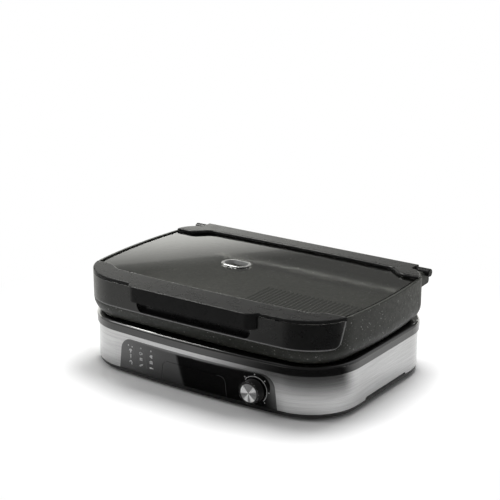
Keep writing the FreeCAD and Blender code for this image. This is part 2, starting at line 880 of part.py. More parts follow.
def make_lead_wires():
    """Live lead to the thermostat, on to the fuse, on to the element, and the neutral lead."""
    back = thermostat_front + thermostat_depth
    fuse_z = plateau_z - reflector_sheet - fuse_radius
    block_z = block_top_z - block_height / 2
    block_front = heater_rear_y - block_depth / 2
    block_rear = heater_rear_y + block_depth / 2
    fuse_right = fuse_x + fuse_length / 2
    fuse_left = fuse_x - fuse_length / 2
    turn_y = (inlet_back + block_rear) / 2
    upper = knob_height + thermostat_height / 4
    live = [vec(pin_spacing, inlet_back, inlet_height), vec(pin_spacing, turn_y, inlet_height),
            vec(knob_x, block_rear, inlet_height), vec(knob_x, block_front, knob_height),
            vec(knob_x, back, knob_height)]
    middle_x = fuse_right + 3 * wire_side_room
    switched = [vec(knob_x - wire_side_room, back, upper), vec(knob_x - wire_side_room, back / 2, upper),
                vec(middle_x, -fuse_y, fuse_z), vec(middle_x, fuse_y, fuse_z), vec(fuse_right, fuse_y, fuse_z)]
    fused = [vec(fuse_left, fuse_y, fuse_z), vec(heater_end_x, fuse_y, fuse_z),
             vec(heater_end_x, fuse_y, block_z), vec(heater_end_x, block_front, block_z)]
    neutral = [vec(-pin_spacing, inlet_back, inlet_height), vec(-pin_spacing, turn_y, inlet_height),
               vec(-heater_end_x, turn_y - wire_side_room / 2, block_z),
               vec(-heater_end_x, block_rear, block_z)]
    return group([pipe(route, wire_radius, wire_bend) for route in (live, switched, fused, neutral)])


def rounded_box(half_x, half_z, centre_z, corner, y0, y1):
    low = centre_z - half_z
    high = centre_z + half_z
    return upright(rounded_wire([(half_x, low, corner), (half_x, high, corner),
                                 (-half_x, high, corner), (-half_x, low, corner)]), y0, y1)


def make_power_inlet():
    flange = rounded_box(inlet_flange_width / 2, inlet_flange_height / 2, inlet_height, inlet_corner,
                         inlet_face, inlet_face + inlet_flange)
    body = rounded_box(inlet_width / 2, inlet_tall / 2, inlet_height, inlet_corner, inlet_back, inlet_face)
    socket = rounded_box(inlet_width / 2 - inlet_wall, inlet_tall / 2 - inlet_wall, inlet_height,
                         inlet_corner - inlet_wall / 2, inlet_face + inlet_flange - inlet_socket_depth, far)
    return flange.fuse(body).cut(socket).removeSplitter()


def make_inlet_pins():
    floor_y = inlet_face + inlet_flange - inlet_socket_depth
    pins = []
    for x, step in ((-pin_spacing, -pin_step), (0, pin_step), (pin_spacing, -pin_step)):
        z = inlet_height + step
        pins.append(box(x - pin_width / 2, x + pin_width / 2, floor_y, floor_y + pin_length,
                        z - pin_tall / 2, z + pin_tall / 2))
    return group(pins)


def make_tray_rails():
    rails = []
    inner = tub_half_width + tub_gap
    front = base_outline.front_at(inner + rail_wall, tray_wall_inset + tray_wall) + drawer_gap
    for side in (-1, 1):
        low = min(side * (inner - rail_shelf), side * (inner + rail_wall))
        high = max(side * (inner - rail_shelf), side * (inner + rail_wall))
        shelf = box(low, high, front, front + tub_length, floor_z, tub_z)
        low = min(side * inner, side * (inner + rail_wall))
        high = max(side * inner, side * (inner + rail_wall))
        rails.append(shelf.fuse(box(low, high, front, front + tub_length, floor_z, tub_z + rail_height)))
    return group([rail.removeSplitter() for rail in rails])


def tub_block(inset, z0, z1):
    front = base_outline.front_at(tub_half_width, panel_thickness) + inset
    rear = front + tub_length - 2 * inset
    half = tub_half_width - inset
    corner = tub_corner - inset
    return slab(rounded_wire([(half, front, 0), (half, rear, corner),
                              (-half, rear, corner), (-half, front, 0)]), z0, z1)


def make_drip_tray_tub():
    tub = tub_block(0, tub_z, tub_z + tub_height)
    return tub.cut(tub_block(tub_wall, tub_z + tub_wall, tub_z + tub_height + overrun))


def make_drip_tray_front():
    plate = base_outline.tube(0, panel_thickness, panel_z, ring_z).common(drawer_arch(0))
    seat = base_outline.front_at(tub_half_width, panel_thickness)
    block = box(-tub_half_width, tub_half_width, -far, seat, tub_z, tub_z + tub_height)
    return plate.fuse(block.common(base_outline.prism(panel_thickness / 2, panel_z, ring_z))).removeSplitter()


def make_pan_pads():
    pads = []
    half = pad_width / 2
    deep = pad_length / 2
    for side in (-1, 1):
        for y in (-pad_y, pad_y):
            x = side * pan_outline.side_at(y, pan_bottom_radius + pan_skirt / 2)
            pads.append(box(x - half, x + half, y - deep, y + deep, flange_z, pan_z))
    return group(pads)


def knob_rod(radius, y0, y1):
    return level_rod(radius, knob_x, y0, y1)


def make_knob_barrel():
    tip = knob_root - knob_length
    root = vec(knob_x, knob_root, knob_height)
    barrel = Part.makeCone(knob_base_radius, knob_radius, knob_length, root, vec(0, -1, 0))
    seat = tip + knob_ring_length
    neck = knob_rod(knob_ring_radius - knob_ring_width, tip, seat)
    barrel = barrel.cut(knob_rod(far, tip - overrun, seat).cut(neck))
    barrel = barrel.cut(knob_rod(knob_cap_radius, tip - overrun, tip + knob_cap_thickness - knob_cap_rise))
    return barrel.cut(knob_rod(shaft_radius, knob_root - shaft_depth_in_knob, knob_root + overrun))


def make_knob_ring():
    tip = knob_root - knob_length
    ring = knob_rod(knob_ring_radius, tip, tip + knob_ring_length)
    return ring.cut(knob_rod(knob_ring_radius - knob_ring_width, tip - overrun, tip + overrun))


def make_knob_cap():
    seat = knob_root - knob_length + knob_cap_thickness - knob_cap_rise
    cap = knob_rod(knob_cap_radius, seat - knob_cap_thickness, seat)
    front = [edge for edge in cap.Edges if abs(edge.BoundBox.YMax - seat + knob_cap_thickness) < same_place]
    return cap.makeFillet(knob_cap_rise, front)


def make_thermostat_shaft():
    return knob_rod(shaft_radius, knob_root - shaft_depth_in_knob, thermostat_front + shaft_depth_in_body)


def ear():
    rear = hinge_back + barrel_radius + running_gap + ear_prong
    top = rim_z - ear_top_drop
    low = top - ear_height
    profile = rounded_wire([(ear_front, top, 0), (ear_front, low - ear_slope, 0),
                            (rear, low, ear_corner), (rear, top, 0)])
    block = sideways(profile, ear_inner_x, ear_outer_x)
    slot = rod(barrel_radius + running_gap, vec(0, hinge_back, hinge_z), vec(far, hinge_back, hinge_z))
    half = barrel_radius + running_gap
    slot = slot.fuse(box(0, far, hinge_back - half - ear_slot_room, hinge_back + half, hinge_z, rim_z + overrun))
    return block.cut(slot)


def cover_zone(gap, z0):
    """Everything in front of the cover's slanted ends, above its bottom edge."""
    top = rim_z + overrun
    slope = cover_end_slope * (top - z0) / (rim_z - cover_z)
    foot = -cover_end_front - cover_end_slope
    return sideways(rounded_wire([(foot + slope - gap, top, 0), (-far, top, 0), (-far, z0 + gap, 0),
                                  (foot - gap, z0 + gap, cover_end_corner)]), -far, far)


def lug_places_xy():
    places = []
    for x in (lug_inner_x, lug_outer_x):
        y = cavity_outline.front_at(x, 0) - pan_wall - lug_radius + pan_wall / 2
        places += [(x, y), (-x, y)]
    return places


def make_grill_pan():
    body = pan_outline.prism(0, pan_z, rim_z)
    body = body.makeFillet(pan_bottom_radius, edges_at(body, pan_z))
    body = body.makeFillet(pan_rim_edge, edges_at(body, rim_z))
    right_ear = ear()
    body = body.fuse([right_ear, mirrored(right_ear)])
    cavity = cavity_outline.prism(0, pan_floor_z, rim_z + overrun)
    cavity = cavity.makeFillet(pan_foot_radius, edges_at(cavity, pan_floor_z))
    front_wall = cavity_outline.prism(-pan_wall, cover_z, cover_flange_z)
    front_wall = front_wall.common(pan_outline.prism(cover_wall + cover_gap, cover_z, cover_flange_z))
    body = body.cut(cover_zone(0, cover_z).cut(front_wall))
    pocket = pan_outline.prism(pocket_inset, cover_z - pocket_depth, rim_z)
    pocket = pocket.cut(cavity_outline.prism(-pan_wall, pan_z, rim_z + overrun))
    body = body.cut(pocket.common(cover_zone(pocket_inset, cover_z - pocket_depth)))
    for x, y in lug_places_xy():
        body = body.fuse(post(lug_radius, x, y, cover_flange_z - lug_height, cover_flange_z))
    body = body.cut(cavity)
    for x, y in lug_places_xy():
        body = body.cut(post(cover_screw_radius, x, y, cover_flange_z - cover_screw_length, rim_z))
    body = body.cut(hearth_outline.prism(-recess_gap, pan_z - overrun, pan_under_z))
    body = body.cut(pan_outline.tube(groove_inset, pan_bottom_radius, pan_z - overrun, pan_under_z))
    ribs = []
    count = round((rib_last_x - rib_first_x) / rib_pitch)
    low = pan_floor_z - pan_floor / 2
    crest = pan_floor_z + rib_height
    for i in range(count + 1):
        x = rib_first_x + i * rib_pitch
        half = rib_width / 2
        top = rib_crest / 2
        section = rounded_wire([(x + half, low, 0), (x + half, pan_floor_z, 0), (x + top, crest, 0),
                                (x - top, crest, 0), (x - half, pan_floor_z, 0), (x - half, low, 0)])
        ribs.append(upright(section, -far, rib_rear_y))
    reach = cavity_outline.prism(rib_inset, low, crest)
    body = body.fuse([rib.common(reach) for rib in ribs])
    spout_foot = pan_under_z - drain_spout
    body = body.fuse(post(drain_radius + drain_wall, 0, drain_y, spout_foot, pan_floor_z))
    body = body.cut(post(drain_radius + drain_wall, 0, drain_y, pan_floor_z, rim_z))
    return body.cut(post(drain_radius, 0, drain_y, spout_foot, rim_z)).removeSplitter()


def scoop(grow):
    """Finger recess under the handle tongue, grown by a wall."""
    half = scoop_half_width + grow
    back = -pan_front_reach + scoop_depth + grow
    tool = box(-half, half, -far, back, scoop_z - grow, scoop_top_z + grow)
    far_edges = [edge for edge in tool.Edges if edge.BoundBox.YMin > back - same_place]
    side_edges = [edge for edge in tool.Edges if edge.BoundBox.YLength > far / 2]
    return tool.makeFillet(scoop_radius + grow, side_edges + far_edges)


def make_front_cover():
    outer = pan_outline.prism(0, cover_z, cover_top_z)
    outer = outer.makeFillet(cover_edge, edges_at(outer, cover_z)).cut(scoop(0))
    inner = pan_outline.prism(cover_wall, cover_z - overrun, cover_top_z + overrun).cut(scoop(cover_wall))
    cover = outer.cut(inner)
    deck = pan_outline.prism(0, cover_flange_z, cover_flange_z + cover_flange)
    deck = deck.cut(cavity_outline.prism(0, cover_flange_z - overrun, rim_z))
    cover = cover.fuse(deck).common(cover_zone(cover_gap, cover_z))
    deck_top = cover_flange_z + cover_flange
    for x, y in lug_places_xy():
        cover = cover.cut(post(cover_screw_radius + screw_gap, x, y, cover_flange_z - overrun, rim_z))
        cover = cover.cut(post(cover_screw_head_radius + screw_gap, x, y, deck_top - cover_screw_head, rim_z))
    return cover.removeSplitter()


def make_cover_screws():
    deck_top = cover_flange_z + cover_flange
    seat = deck_top - cover_screw_head
    screws = []
    for x, y in lug_places_xy():
        head = post(cover_screw_head_radius, x, y, seat, deck_top)
        screws.append(head.fuse(post(cover_screw_radius, x, y, cover_flange_z - cover_screw_length, seat)))
    return group(screws)


def stadium(length, width, z0, z1):
    radius = width / 2
    half = length / 2
    wire = rounded_wire([(half, -radius, radius - same_place), (half, radius, radius - same_place),
                         (-half, radius, radius - same_place), (-half, -radius, radius - same_place)])
    body = slab(wire, z0, z1)
    body.translate(vec(vent_x, vent_y, 0))
    return body


def vent_part(inset, z0, z1):
    return stadium(vent_length - 2 * inset, vent_width - 2 * inset, z0, z1)


def make_lid_glass():
    return glass_outline.prism(0, glass_z, glass_top_z).cut(vent_part(vent_rim, glass_z - overrun, rim_z))


def make_vent_ring():
    ring = vent_part(0, glass_top_z, glass_top_z + vent_rim_height)
    ring = ring.makeFillet(vent_rim_height / 2, edges_at(ring, glass_top_z + vent_rim_height))
    ring = ring.fuse(vent_part(vent_rim, glass_z - vent_clip_height, glass_top_z))
    return ring.cut(vent_part(vent_rim + vent_collar, glass_z - overrun, rim_z + overrun))


def make_vent_clip():
    clip = vent_part(0, glass_z - vent_clip_height, glass_z)
    return clip.cut(vent_part(vent_rim, glass_z - overrun, rim_z))


def tongue(inset, z0, z1):
    half = tongue_half_width - inset
    front = -tongue_front + inset
    corner = tongue_corner - inset
    return slab(rounded_wire([(-half, front, corner), (half, front, corner), (half, -frame_middle_front, 0),
                              (-half, -frame_middle_front, 0)]), z0, z1)


def middle_bow(half_run, rise, share):
    """Radius of the arc in the middle of a frame's edge that takes a share of each straight run beside it."""
    return share * math.hypot(half_run, rise) * half_run / rise


def front_frame_behind(z0, z1):
    """Everything behind the front frame's curved inner edge."""
    bow = middle_bow(frame_waist_x, frame_waist_depth - frame_middle_depth, frame_bow_share)
    return slab(rounded_wire([(-far, -frame_end_front, 0), (-frame_end_x, -frame_end_front, frame_curve),
                              (-frame_waist_x, -frame_waist_front, frame_curve),
                              (0, -frame_middle_front, bow),
                              (frame_waist_x, -frame_waist_front, frame_curve),
                              (frame_end_x, -frame_end_front, frame_curve), (far, -frame_end_front, 0),
                              (far, far, 0), (-far, far, 0)]), z0, z1)


def make_lid_front_frame():
    frame = pan_outline.prism(0, frame_lip_z, frame_top_z)
    frame = frame.fuse(tongue(0, frame_lip_z, frame_top_z)).removeSplitter()
    inner = tongue_half_width - tongue_corner
    outer = tongue_half_width + same_place
    roots = [edge for edge in frame.Edges if edge.BoundBox.ZLength > frame_lip
             and inner < abs(edge.BoundBox.Center.x) < outer and edge.BoundBox.Center.y > -pan_front_reach]
    frame = frame.makeFillet(tongue_root_radius, roots)
    frame = frame.makeFillet(frame_edge, edges_at(frame, frame_top_z))
    hollow = pan_outline.prism(frame_lip_wall, frame_lip_z - overrun, frame_plate_z)
    hollow = hollow.fuse(tongue(skirt_wall, frame_lip_z - overrun, frame_plate_z))
    frame = frame.cut(hollow)
    skirt_z = frame_top_z - skirt_drop
    skirt = tongue(0, skirt_z, frame_plate_z).cut(tongue(skirt_wall, skirt_z - overrun, frame_top_z))
    skirt = skirt.cut(pan_outline.prism(-skirt_gap, skirt_z - overrun, frame_top_z))
    frame = frame.fuse(skirt)
    frame = frame.cut(front_frame_behind(frame_lip_z - overrun, frame_top_z + overrun))
    for x, y in front_screw_places():
        boss = post(2 * clamp_screw_radius + screw_gap, x, y, glass_z, frame_plate_z)
        frame = frame.fuse(boss.cut(post(clamp_screw_radius, x, y, glass_z, frame_plate_z)))
    return frame.removeSplitter()


def front_screw_places():
    y = -glass_front - clamp_screw_edge
    return [(side * x, y) for side in (-1, 1) for x in (clamp_screw_inner_x, clamp_screw_outer_x)]


def make_front_gasket():
    strip = glass_outline.tube(0, gasket_width, glass_top_z, frame_plate_z)
    return strip.cut(front_frame_behind(glass_z, frame_top_z))


def make_front_clamp():
    front = -glass_front - 2 * clamp_screw_edge
    strip = box(-clamp_end_x, clamp_end_x, front, front + front_clamp_depth, clamp_z, glass_z)
    for x, y in front_screw_places():
        strip = strip.cut(post(clamp_screw_radius + screw_gap, x, y, clamp_z, glass_z))
        strip = strip.cut(post(clamp_screw_head_radius + screw_gap, x, y, clamp_z, clamp_z + clamp_screw_head))
    return strip


def make_clamp_screws():
    screws = []
    for x, y in front_screw_places():
        head = post(clamp_screw_head_radius, x, y, clamp_z, clamp_z + clamp_screw_head)
        screws.append(head.fuse(post(clamp_screw_radius, x, y, clamp_z, frame_plate_z)))
    return group(screws)


def rear_frame_area(z0, z1):
    """Everything behind the rear frame's curved front edge."""
    bow = middle_bow(rear_frame_waist_x, rear_frame_waist_depth - rear_frame_middle_depth, rear_frame_bow_share)
    return slab(rounded_wire([(-far, rear_frame_end, 0), (-rear_frame_end_x, rear_frame_end, rear_frame_curve),
                              (-rear_frame_waist_x, rear_frame_waist, rear_frame_curve),
                              (0, rear_frame_front, bow),
                              (rear_frame_waist_x, rear_frame_waist, rear_frame_curve),
                              (rear_frame_end_x, rear_frame_end, rear_frame_curve), (far, rear_frame_end, 0),
                              (far, far, 0), (-far, far, 0)]), z0, z1)


def make_lid_rear_frame():
    plate = pan_outline.prism(rear_frame_inset, rear_frame_z, rear_frame_top_z)
    plate = plate.common(rear_frame_area(rear_frame_z, rear_frame_top_z))
    plate = plate.makeFillet(rear_frame_edge, edges_at(plate, rear_frame_top_z))
    plate = plate.cut(pan_outline.tube(-overrun, glass_inset, rear_frame_z, rim_z + rear_bridge_gap))
    bridge = box(-rear_bridge_half, rear_bridge_half, (rear_frame_front + glass_rear) / 2,
                 hinge_back + barrel_radius, rim_z + rear_bridge_gap, rear_frame_top_z)
    web = box(-rear_bridge_half, rear_bridge_half, hinge_back - barrel_radius, hinge_back + barrel_radius,
              hinge_z, rear_frame_top_z)
    bridge = bridge.fuse(web).removeSplitter()
    back_edges = [edge for edge in bridge.Edges if edge.BoundBox.XLength > rear_bridge_half
                  and edge.BoundBox.YMin > hinge_back and edge.BoundBox.ZMin > rim_z]
    bridge = bridge.makeFillet(rear_bridge_edge, back_edges)
    barrel = rod(barrel_radius, vec(-barrel_half_length, hinge_back, hinge_z),
                 vec(barrel_half_length, hinge_back, hinge_z))
    ends = [edge for edge in barrel.Edges if edge.BoundBox.XLength < same_place]
    barrel = barrel.makeFillet(barrel_end_edge, ends)
    frame = plate.fuse([bridge, barrel]).removeSplitter()
    end = barrel_half_length - hinge_rod_end
    return frame.cut(rod(hinge_rod_radius, vec(-end, hinge_back, hinge_z), vec(end, hinge_back, hinge_z)))


def make_hinge_rod():
    end = barrel_half_length - hinge_rod_end
    return rod(hinge_rod_radius, vec(-end, hinge_back, hinge_z), vec(end, hinge_back, hinge_z))


def make_rear_gasket():
    strip = glass_outline.tube(0, gasket_width, glass_top_z, frame_plate_z)
    return strip.common(rear_frame_area(glass_z, rear_frame_top_z))


def make_lid_pads():
    pads = []
    for side in (-1, 1):
        seat = cover_flange_z + cover_flange
        pads.append(post(lid_pad_radius, side * lid_pad_x, -lid_pad_front, seat, frame_plate_z))
    return group(pads)


pieces = {
    "base_tray": make_base_tray,
    "rubber_feet": make_rubber_feet,
    "base_screws": make_base_screws,
    "steel_band": make_steel_band,
    "control_panel": make_control_panel,
    "panel_screws": make_panel_screws,
    "top_ring": make_top_ring,
    "heat_reflector": make_heat_reflector,
    "reflector_screws": make_reflector_screws,
    "heating_element": make_heating_element,
    "heater_clips": make_heater_clips,
    "terminal_block": make_terminal_block,
    "thermal_fuse": make_thermal_fuse,
    "thermostat": make_thermostat,
    "thermostat_bracket": make_thermostat_bracket,
    "thermostat_screws": make_thermostat_screws,
    "lead_wires": make_lead_wires,
    "power_inlet": make_power_inlet,
    "inlet_pins": make_inlet_pins,
    "tray_rails": make_tray_rails,
    "pan_pads": make_pan_pads,
    "knob_barrel": make_knob_barrel,
    "knob_ring": make_knob_ring,
    "knob_cap": make_knob_cap,
    "thermostat_shaft": make_thermostat_shaft,
    "drip_tray_tub": make_drip_tray_tub,
    "drip_tray_front": make_drip_tray_front,
    "grill_pan": make_grill_pan,
    "front_cover": make_front_cover,
    "cover_screws": make_cover_screws,
    "lid_glass": make_lid_glass,
    "vent_ring": make_vent_ring,
    "vent_clip": make_vent_clip,
    "lid_front_frame": make_lid_front_frame,
    "front_gasket": make_front_gasket,
    "front_clamp": make_front_clamp,
    "lid_rear_frame": make_lid_rear_frame,
    "rear_gasket": make_rear_gasket,
    "clamp_screws": make_clamp_screws,
    "hinge_rod": make_hinge_rod,
    "lid_pads": make_lid_pads,
}

# The middle of the bounding box, from the tongue's front to the ring's rear, goes to the origin
centring = vec(0, (tongue_front - base_depth / 2 - ring_proud) / 2, 0)
os.makedirs("parts", exist_ok=True)
for name, make in pieces.items():
    shape = make()
    shape.translate(centring)
    shape.exportStep("parts/" + name + ".step")
    print(name, len(shape.Solids), round(shape.Volume), shape.isValid())
print("shift back", centring.y, "hinge", hinge_back + centring.y, hinge_z, "knob", knob_x, knob_height)
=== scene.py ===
import json
import math

import bmesh
import bpy
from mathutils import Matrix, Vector


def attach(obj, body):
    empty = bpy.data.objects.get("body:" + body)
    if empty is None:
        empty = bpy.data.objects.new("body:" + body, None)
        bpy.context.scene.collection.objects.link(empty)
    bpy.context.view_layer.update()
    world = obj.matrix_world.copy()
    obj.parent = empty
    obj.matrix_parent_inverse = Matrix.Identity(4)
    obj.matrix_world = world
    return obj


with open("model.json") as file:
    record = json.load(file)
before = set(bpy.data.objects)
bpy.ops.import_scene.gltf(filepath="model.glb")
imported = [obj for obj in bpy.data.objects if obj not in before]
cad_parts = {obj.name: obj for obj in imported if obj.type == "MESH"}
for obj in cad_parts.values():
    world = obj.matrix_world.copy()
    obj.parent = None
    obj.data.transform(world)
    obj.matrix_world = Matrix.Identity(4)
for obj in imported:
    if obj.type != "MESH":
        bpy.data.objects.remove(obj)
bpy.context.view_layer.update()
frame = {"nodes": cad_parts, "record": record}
nodes = frame["nodes"]
scene = bpy.context.scene
MM = 0.001


def node_box(name):
    """Lowest and highest corner of a node."""
    points = [vertex.co for vertex in nodes[name].data.vertices]
    return [Vector([pick(point[axis] for point in points) for axis in range(3)]) for pick in (min, max)]


# Camera at the photograph's viewing angle: its place, the direction that it looks from, and its lens
EYE = (1.2127, -1.7629, 0.862)
VIEW_AZIMUTH = math.radians(34.74)
VIEW_PITCH = math.radians(17.34)
LENS = 100.8
SENSOR = 36.0
CLIP_NEAR, CLIP_FAR = 0.05, 50.0


def make_camera():
    data = bpy.data.cameras.new("camera")
    data.sensor_width = SENSOR
    data.lens = LENS
    data.clip_start = CLIP_NEAR
    data.clip_end = CLIP_FAR
    cam = bpy.data.objects.new("camera", data)
    scene.collection.objects.link(cam)
    level = math.cos(VIEW_PITCH)
    back = Vector((math.sin(VIEW_AZIMUTH) * level, -math.cos(VIEW_AZIMUTH) * level, math.sin(VIEW_PITCH)))
    cam.location = EYE
    cam.rotation_mode = "QUATERNION"
    cam.rotation_quaternion = (-back).to_track_quat("-Z", "Y")
    scene.camera = cam


make_camera()
scene.view_settings.view_transform = "Standard"

# Node tree helpers
BEVEL_SAMPLES = 6


class Tree:
    """A small wrapper that makes nodes and links with few words."""

    def __init__(self, tree):
        self.tree = tree
        tree.nodes.clear()

    def node(self, kind, **settings):
        made = self.tree.nodes.new(kind)
        for key, value in settings.items():
            setattr(made, key, value)
        return made

    def link(self, start, end):
        self.tree.links.new(start, end)

    def feed(self, socket, value):
        """Set a socket to a constant or link it to another socket; a function is asked for its value."""
        if callable(value):
            value = value(self)
        if isinstance(value, bpy.types.NodeSocket):
            self.link(value, socket)
        elif value is not None:
            socket.default_value = value

    def math(self, operation, a, b=None, c=None, clamp=False):
        made = self.node("ShaderNodeMath", operation=operation, use_clamp=clamp)
        for socket, value in zip(made.inputs, (a, b, c)):
            self.feed(socket, value)
        return made.outputs[0]

    def times(self, value, *others):
        """Product of all the values given."""
        for other in others:
            value = self.math("MULTIPLY", value, other)
        return value

    def past(self, value, limit):
        """How far a value lies past a limit on either side of zero."""
        return self.math("MAXIMUM", self.math("SUBTRACT", self.math("ABSOLUTE", value), limit), 0.0)

    def span(self, a, b):
        """Length of the slanted side over two square ones."""
        return self.math("SQRT", self.math("ADD", self.times(a, a), self.times(b, b)))

    def vmath(self, operation, a, b=None, out=0):
        made = self.node("ShaderNodeVectorMath", operation=operation)
        for socket, value in zip(made.inputs, (a, b)):
            self.feed(socket, value)
        return made.outputs[out]

    def dot(self, a, b):
        return self.vmath("DOT_PRODUCT", a, b, out=1)

    def length(self, vector):
        return self.vmath("LENGTH", vector, out=1)

    def split(self, vector):
        """The X, Y and Z of a vector."""
        made = self.node("ShaderNodeSeparateXYZ")
        self.link(vector, made.inputs[0])
        return made.outputs

    def ramp(self, value, low, high, to_low=0.0, to_high=1.0):
        """Soft step of a value between two limits, from one result to another."""
        made = self.node("ShaderNodeMapRange", interpolation_type="SMOOTHSTEP")
        for socket, item in zip(made.inputs, (value, low, high, to_low, to_high)):
            self.feed(socket, item)
        return made.outputs[0]

    def mix(self, share, a, b):
        made = self.node("ShaderNodeMix", data_type="RGBA")
        self.feed(made.inputs["Factor"], share)
        self.feed(made.inputs["A"], a)
        self.feed(made.inputs["B"], b)
        return made.outputs["Result"]

    def noise(self, coordinates, scale, detail, roughness=0.5):
        made = self.node("ShaderNodeTexNoise")
        self.feed(made.inputs["Vector"], coordinates)
        made.inputs["Scale"].default_value = scale
        made.inputs["Detail"].default_value = detail
        made.inputs["Roughness"].default_value = roughness
        return made.outputs["Fac"]

    def stretched(self, coordinates, scale):
        made = self.node("ShaderNodeMapping")
        self.feed(made.inputs["Vector"], coordinates)
        made.inputs["Scale"].default_value = scale
        return made.outputs[0]

    def place(self):
        return self.node("ShaderNodeTexCoord").outputs["Object"]

    def bump(self, height, distance, normal=None):
        made = self.node("ShaderNodeBump")
        self.feed(made.inputs["Height"], height)
        made.inputs["Distance"].default_value = distance
        self.feed(made.inputs["Normal"], normal)
        return made.outputs[0]

    def rounded(self, radius):
        """Normal that turns softly over the edges of a moulding."""
        made = self.node("ShaderNodeBevel", samples=BEVEL_SAMPLES)
        made.inputs["Radius"].default_value = radius
        return made.outputs[0]

    def light(self, kind, color, strength):
        """Emission or background of a colour and a strength."""
        made = self.node(kind)
        self.feed(made.inputs["Color"], color)
        self.feed(made.inputs["Strength"], strength)
        return made

    def blend(self, share, first, second):
        """Shader that goes from the first to the second as the share grows."""
        made = self.node("ShaderNodeMixShader")
        for socket, start in zip(made.inputs, (share, first.outputs[0], second.outputs[0])):
            self.link(start, socket)
        return made

    def show(self, shader, kind="ShaderNodeOutputMaterial"):
        """Lead a shader to the output."""
        self.link(shader.outputs[0], self.node(kind).inputs["Surface"])


def grey(value):
    return (value, value, value, 1.0)


# Material helpers; a noise mostly lies between the two values here
NOISE_LOW, NOISE_HIGH = 0.3, 0.7
materials = {}


def new_material(name):
    material = bpy.data.materials.new(name)
    material.use_nodes = True
    return material, Tree(material.node_tree)


def surface(name, color, roughness, normal, metallic=0.0, **sockets):
    """Principled material; colour, roughness and normal are functions that take the tree, the rest may be."""
    material, tree = new_material(name)
    shader = tree.node("ShaderNodeBsdfPrincipled")
    tree.show(shader)
    tree.feed(shader.inputs["Base Color"], color)
    tree.feed(shader.inputs["Roughness"], roughness)
    tree.feed(shader.inputs["Metallic"], metallic)
    tree.feed(shader.inputs["Normal"], normal)
    for key, value in sockets.items():
        tree.feed(shader.inputs[key.replace("_", " ")], value)
    materials[name] = material


def mottled(first, second, scale, detail=3.0):
    """Colour that drifts between two colours."""
    return lambda tree: tree.mix(tree.noise(tree.place(), scale, detail), first, second)


def varied(low, high, scale):
    """Grey that drifts between two values."""
    return mottled(grey(low), grey(high), scale)


def wandering(low, high, scale, detail=3.0):
    """Number that drifts between two values."""
    return lambda tree: tree.ramp(tree.noise(tree.place(), scale, detail), NOISE_LOW, NOISE_HIGH, low, high)


def grain(scale, depth, detail=2.0, edge=None):
    """Fine bump, its depth in millimetres; with an edge radius, sharp edges shade as if they were rounded."""
    return lambda tree: tree.bump(tree.noise(tree.place(), scale, detail), depth * MM,
                                  tree.rounded(edge) if edge else None)


def satin(name, color, edge, gloss):
    """Satin moulded plastic whose edges look rounded to the radius given."""
    surface(name, color, wandering(0.26, 0.32, 70.0), grain(300.0, 0.003, edge=edge),
            Specular_IOR_Level=gloss)


# Brushed metal: detail and roughness of its lines, and their scale in the colour, the roughness and the bump
LINE_DETAIL, LINE_ROUGHNESS = 5.0, 0.7
COLOR_LINES, ROUGH_LINES, BUMP_LINES = 1.0, 0.7, 1.3


def brushed(name, low, high, stretch, rough_low, rough_high, depth, **sockets):
    """Metal with fine lines along the axes whose stretch is small; the depth is in millimetres."""
    def lines(tree, scale):
        return tree.noise(tree.stretched(tree.place(), stretch), scale, LINE_DETAIL, LINE_ROUGHNESS)

    def color(tree):
        return tree.mix(tree.ramp(lines(tree, COLOR_LINES), NOISE_LOW, NOISE_HIGH), grey(low), grey(high))

    def roughness(tree):
        return tree.ramp(lines(tree, ROUGH_LINES), NOISE_LOW, NOISE_HIGH, rough_low, rough_high)

    def normal(tree):
        return tree.bump(lines(tree, BUMP_LINES), depth * MM)

    surface(name, color, roughness, normal, 1.0, **sockets)


def round_upright(tree):
    """Tangent that runs round the upright axis."""
    return tree.node("ShaderNodeTangent", direction_type="RADIAL", axis="Z").outputs[0]


# Stone coating: its dark ground, and its specks from small to large, each with the cells in a metre, the
# share of a cell that a speck may fill, the share of cells without one, and how pale it is
STONE_DARK = (0.010, 0.011, 0.009, 1)
STONE_PALE = (0.027, 0.028, 0.024, 1)
STONE_SCALE, STONE_DETAIL, STONE_ROUGHNESS = 700.0, 4.0, 0.7
SPECKS = ((1500.0, 0.45, 0.80, 0.06), (950.0, 0.42, 0.90, 0.11), (620.0, 0.34, 0.96, 0.18))
SPECK_CORE = 0.05
SPECK_BLUE = 0.96


def stone_color(tree):
    """Dark coating with fine pale specks of several sizes."""
    place = tree.place()
    ground = tree.mix(tree.noise(place, STONE_SCALE, STONE_DETAIL, STONE_ROUGHNESS), STONE_DARK, STONE_PALE)
    for scale, size, bare, tone in SPECKS:
        cells = tree.node("ShaderNodeTexVoronoi")
        tree.link(place, cells.inputs["Vector"])
        cells.inputs["Scale"].default_value = scale
        pick = tree.node("ShaderNodeSeparateColor")
        tree.link(cells.outputs["Color"], pick.inputs[0])
        chosen = tree.math("GREATER_THAN", pick.outputs[0], bare)
        reach = tree.times(pick.outputs[1], size)
        spot = tree.ramp(cells.outputs["Distance"], reach, SPECK_CORE)
        share = tree.math("MULTIPLY", chosen, spot, clamp=True)
        ground = tree.mix(share, ground, (tone, tone, tone * SPECK_BLUE, 1))
    return ground


# Knob's cap, with a painted reflection of its turned finish: its middle, its painted highlight wedges with
# angle, half width and strength, and its fine rings
knob_low, knob_high = node_box("knob_cap")
knob_middle = (knob_low + knob_high) / 2
PAINTED_WEDGES = ((161.0, 36.0, 1.0), (37.0, 24.0, 0.75), (248.0, 26.0, 0.8), (305.0, 24.0, 0.85))
WEDGE_NOISE, WEDGE_NOISE_SHARE = (2.2, 2.2, 2.2), 0.35
RING_WAVES, RING_SHARE = 9000.0, 0.04
CAP_PAINTED_DARK, CAP_PAINTED_BRIGHT = grey(0.10), grey(1.0)


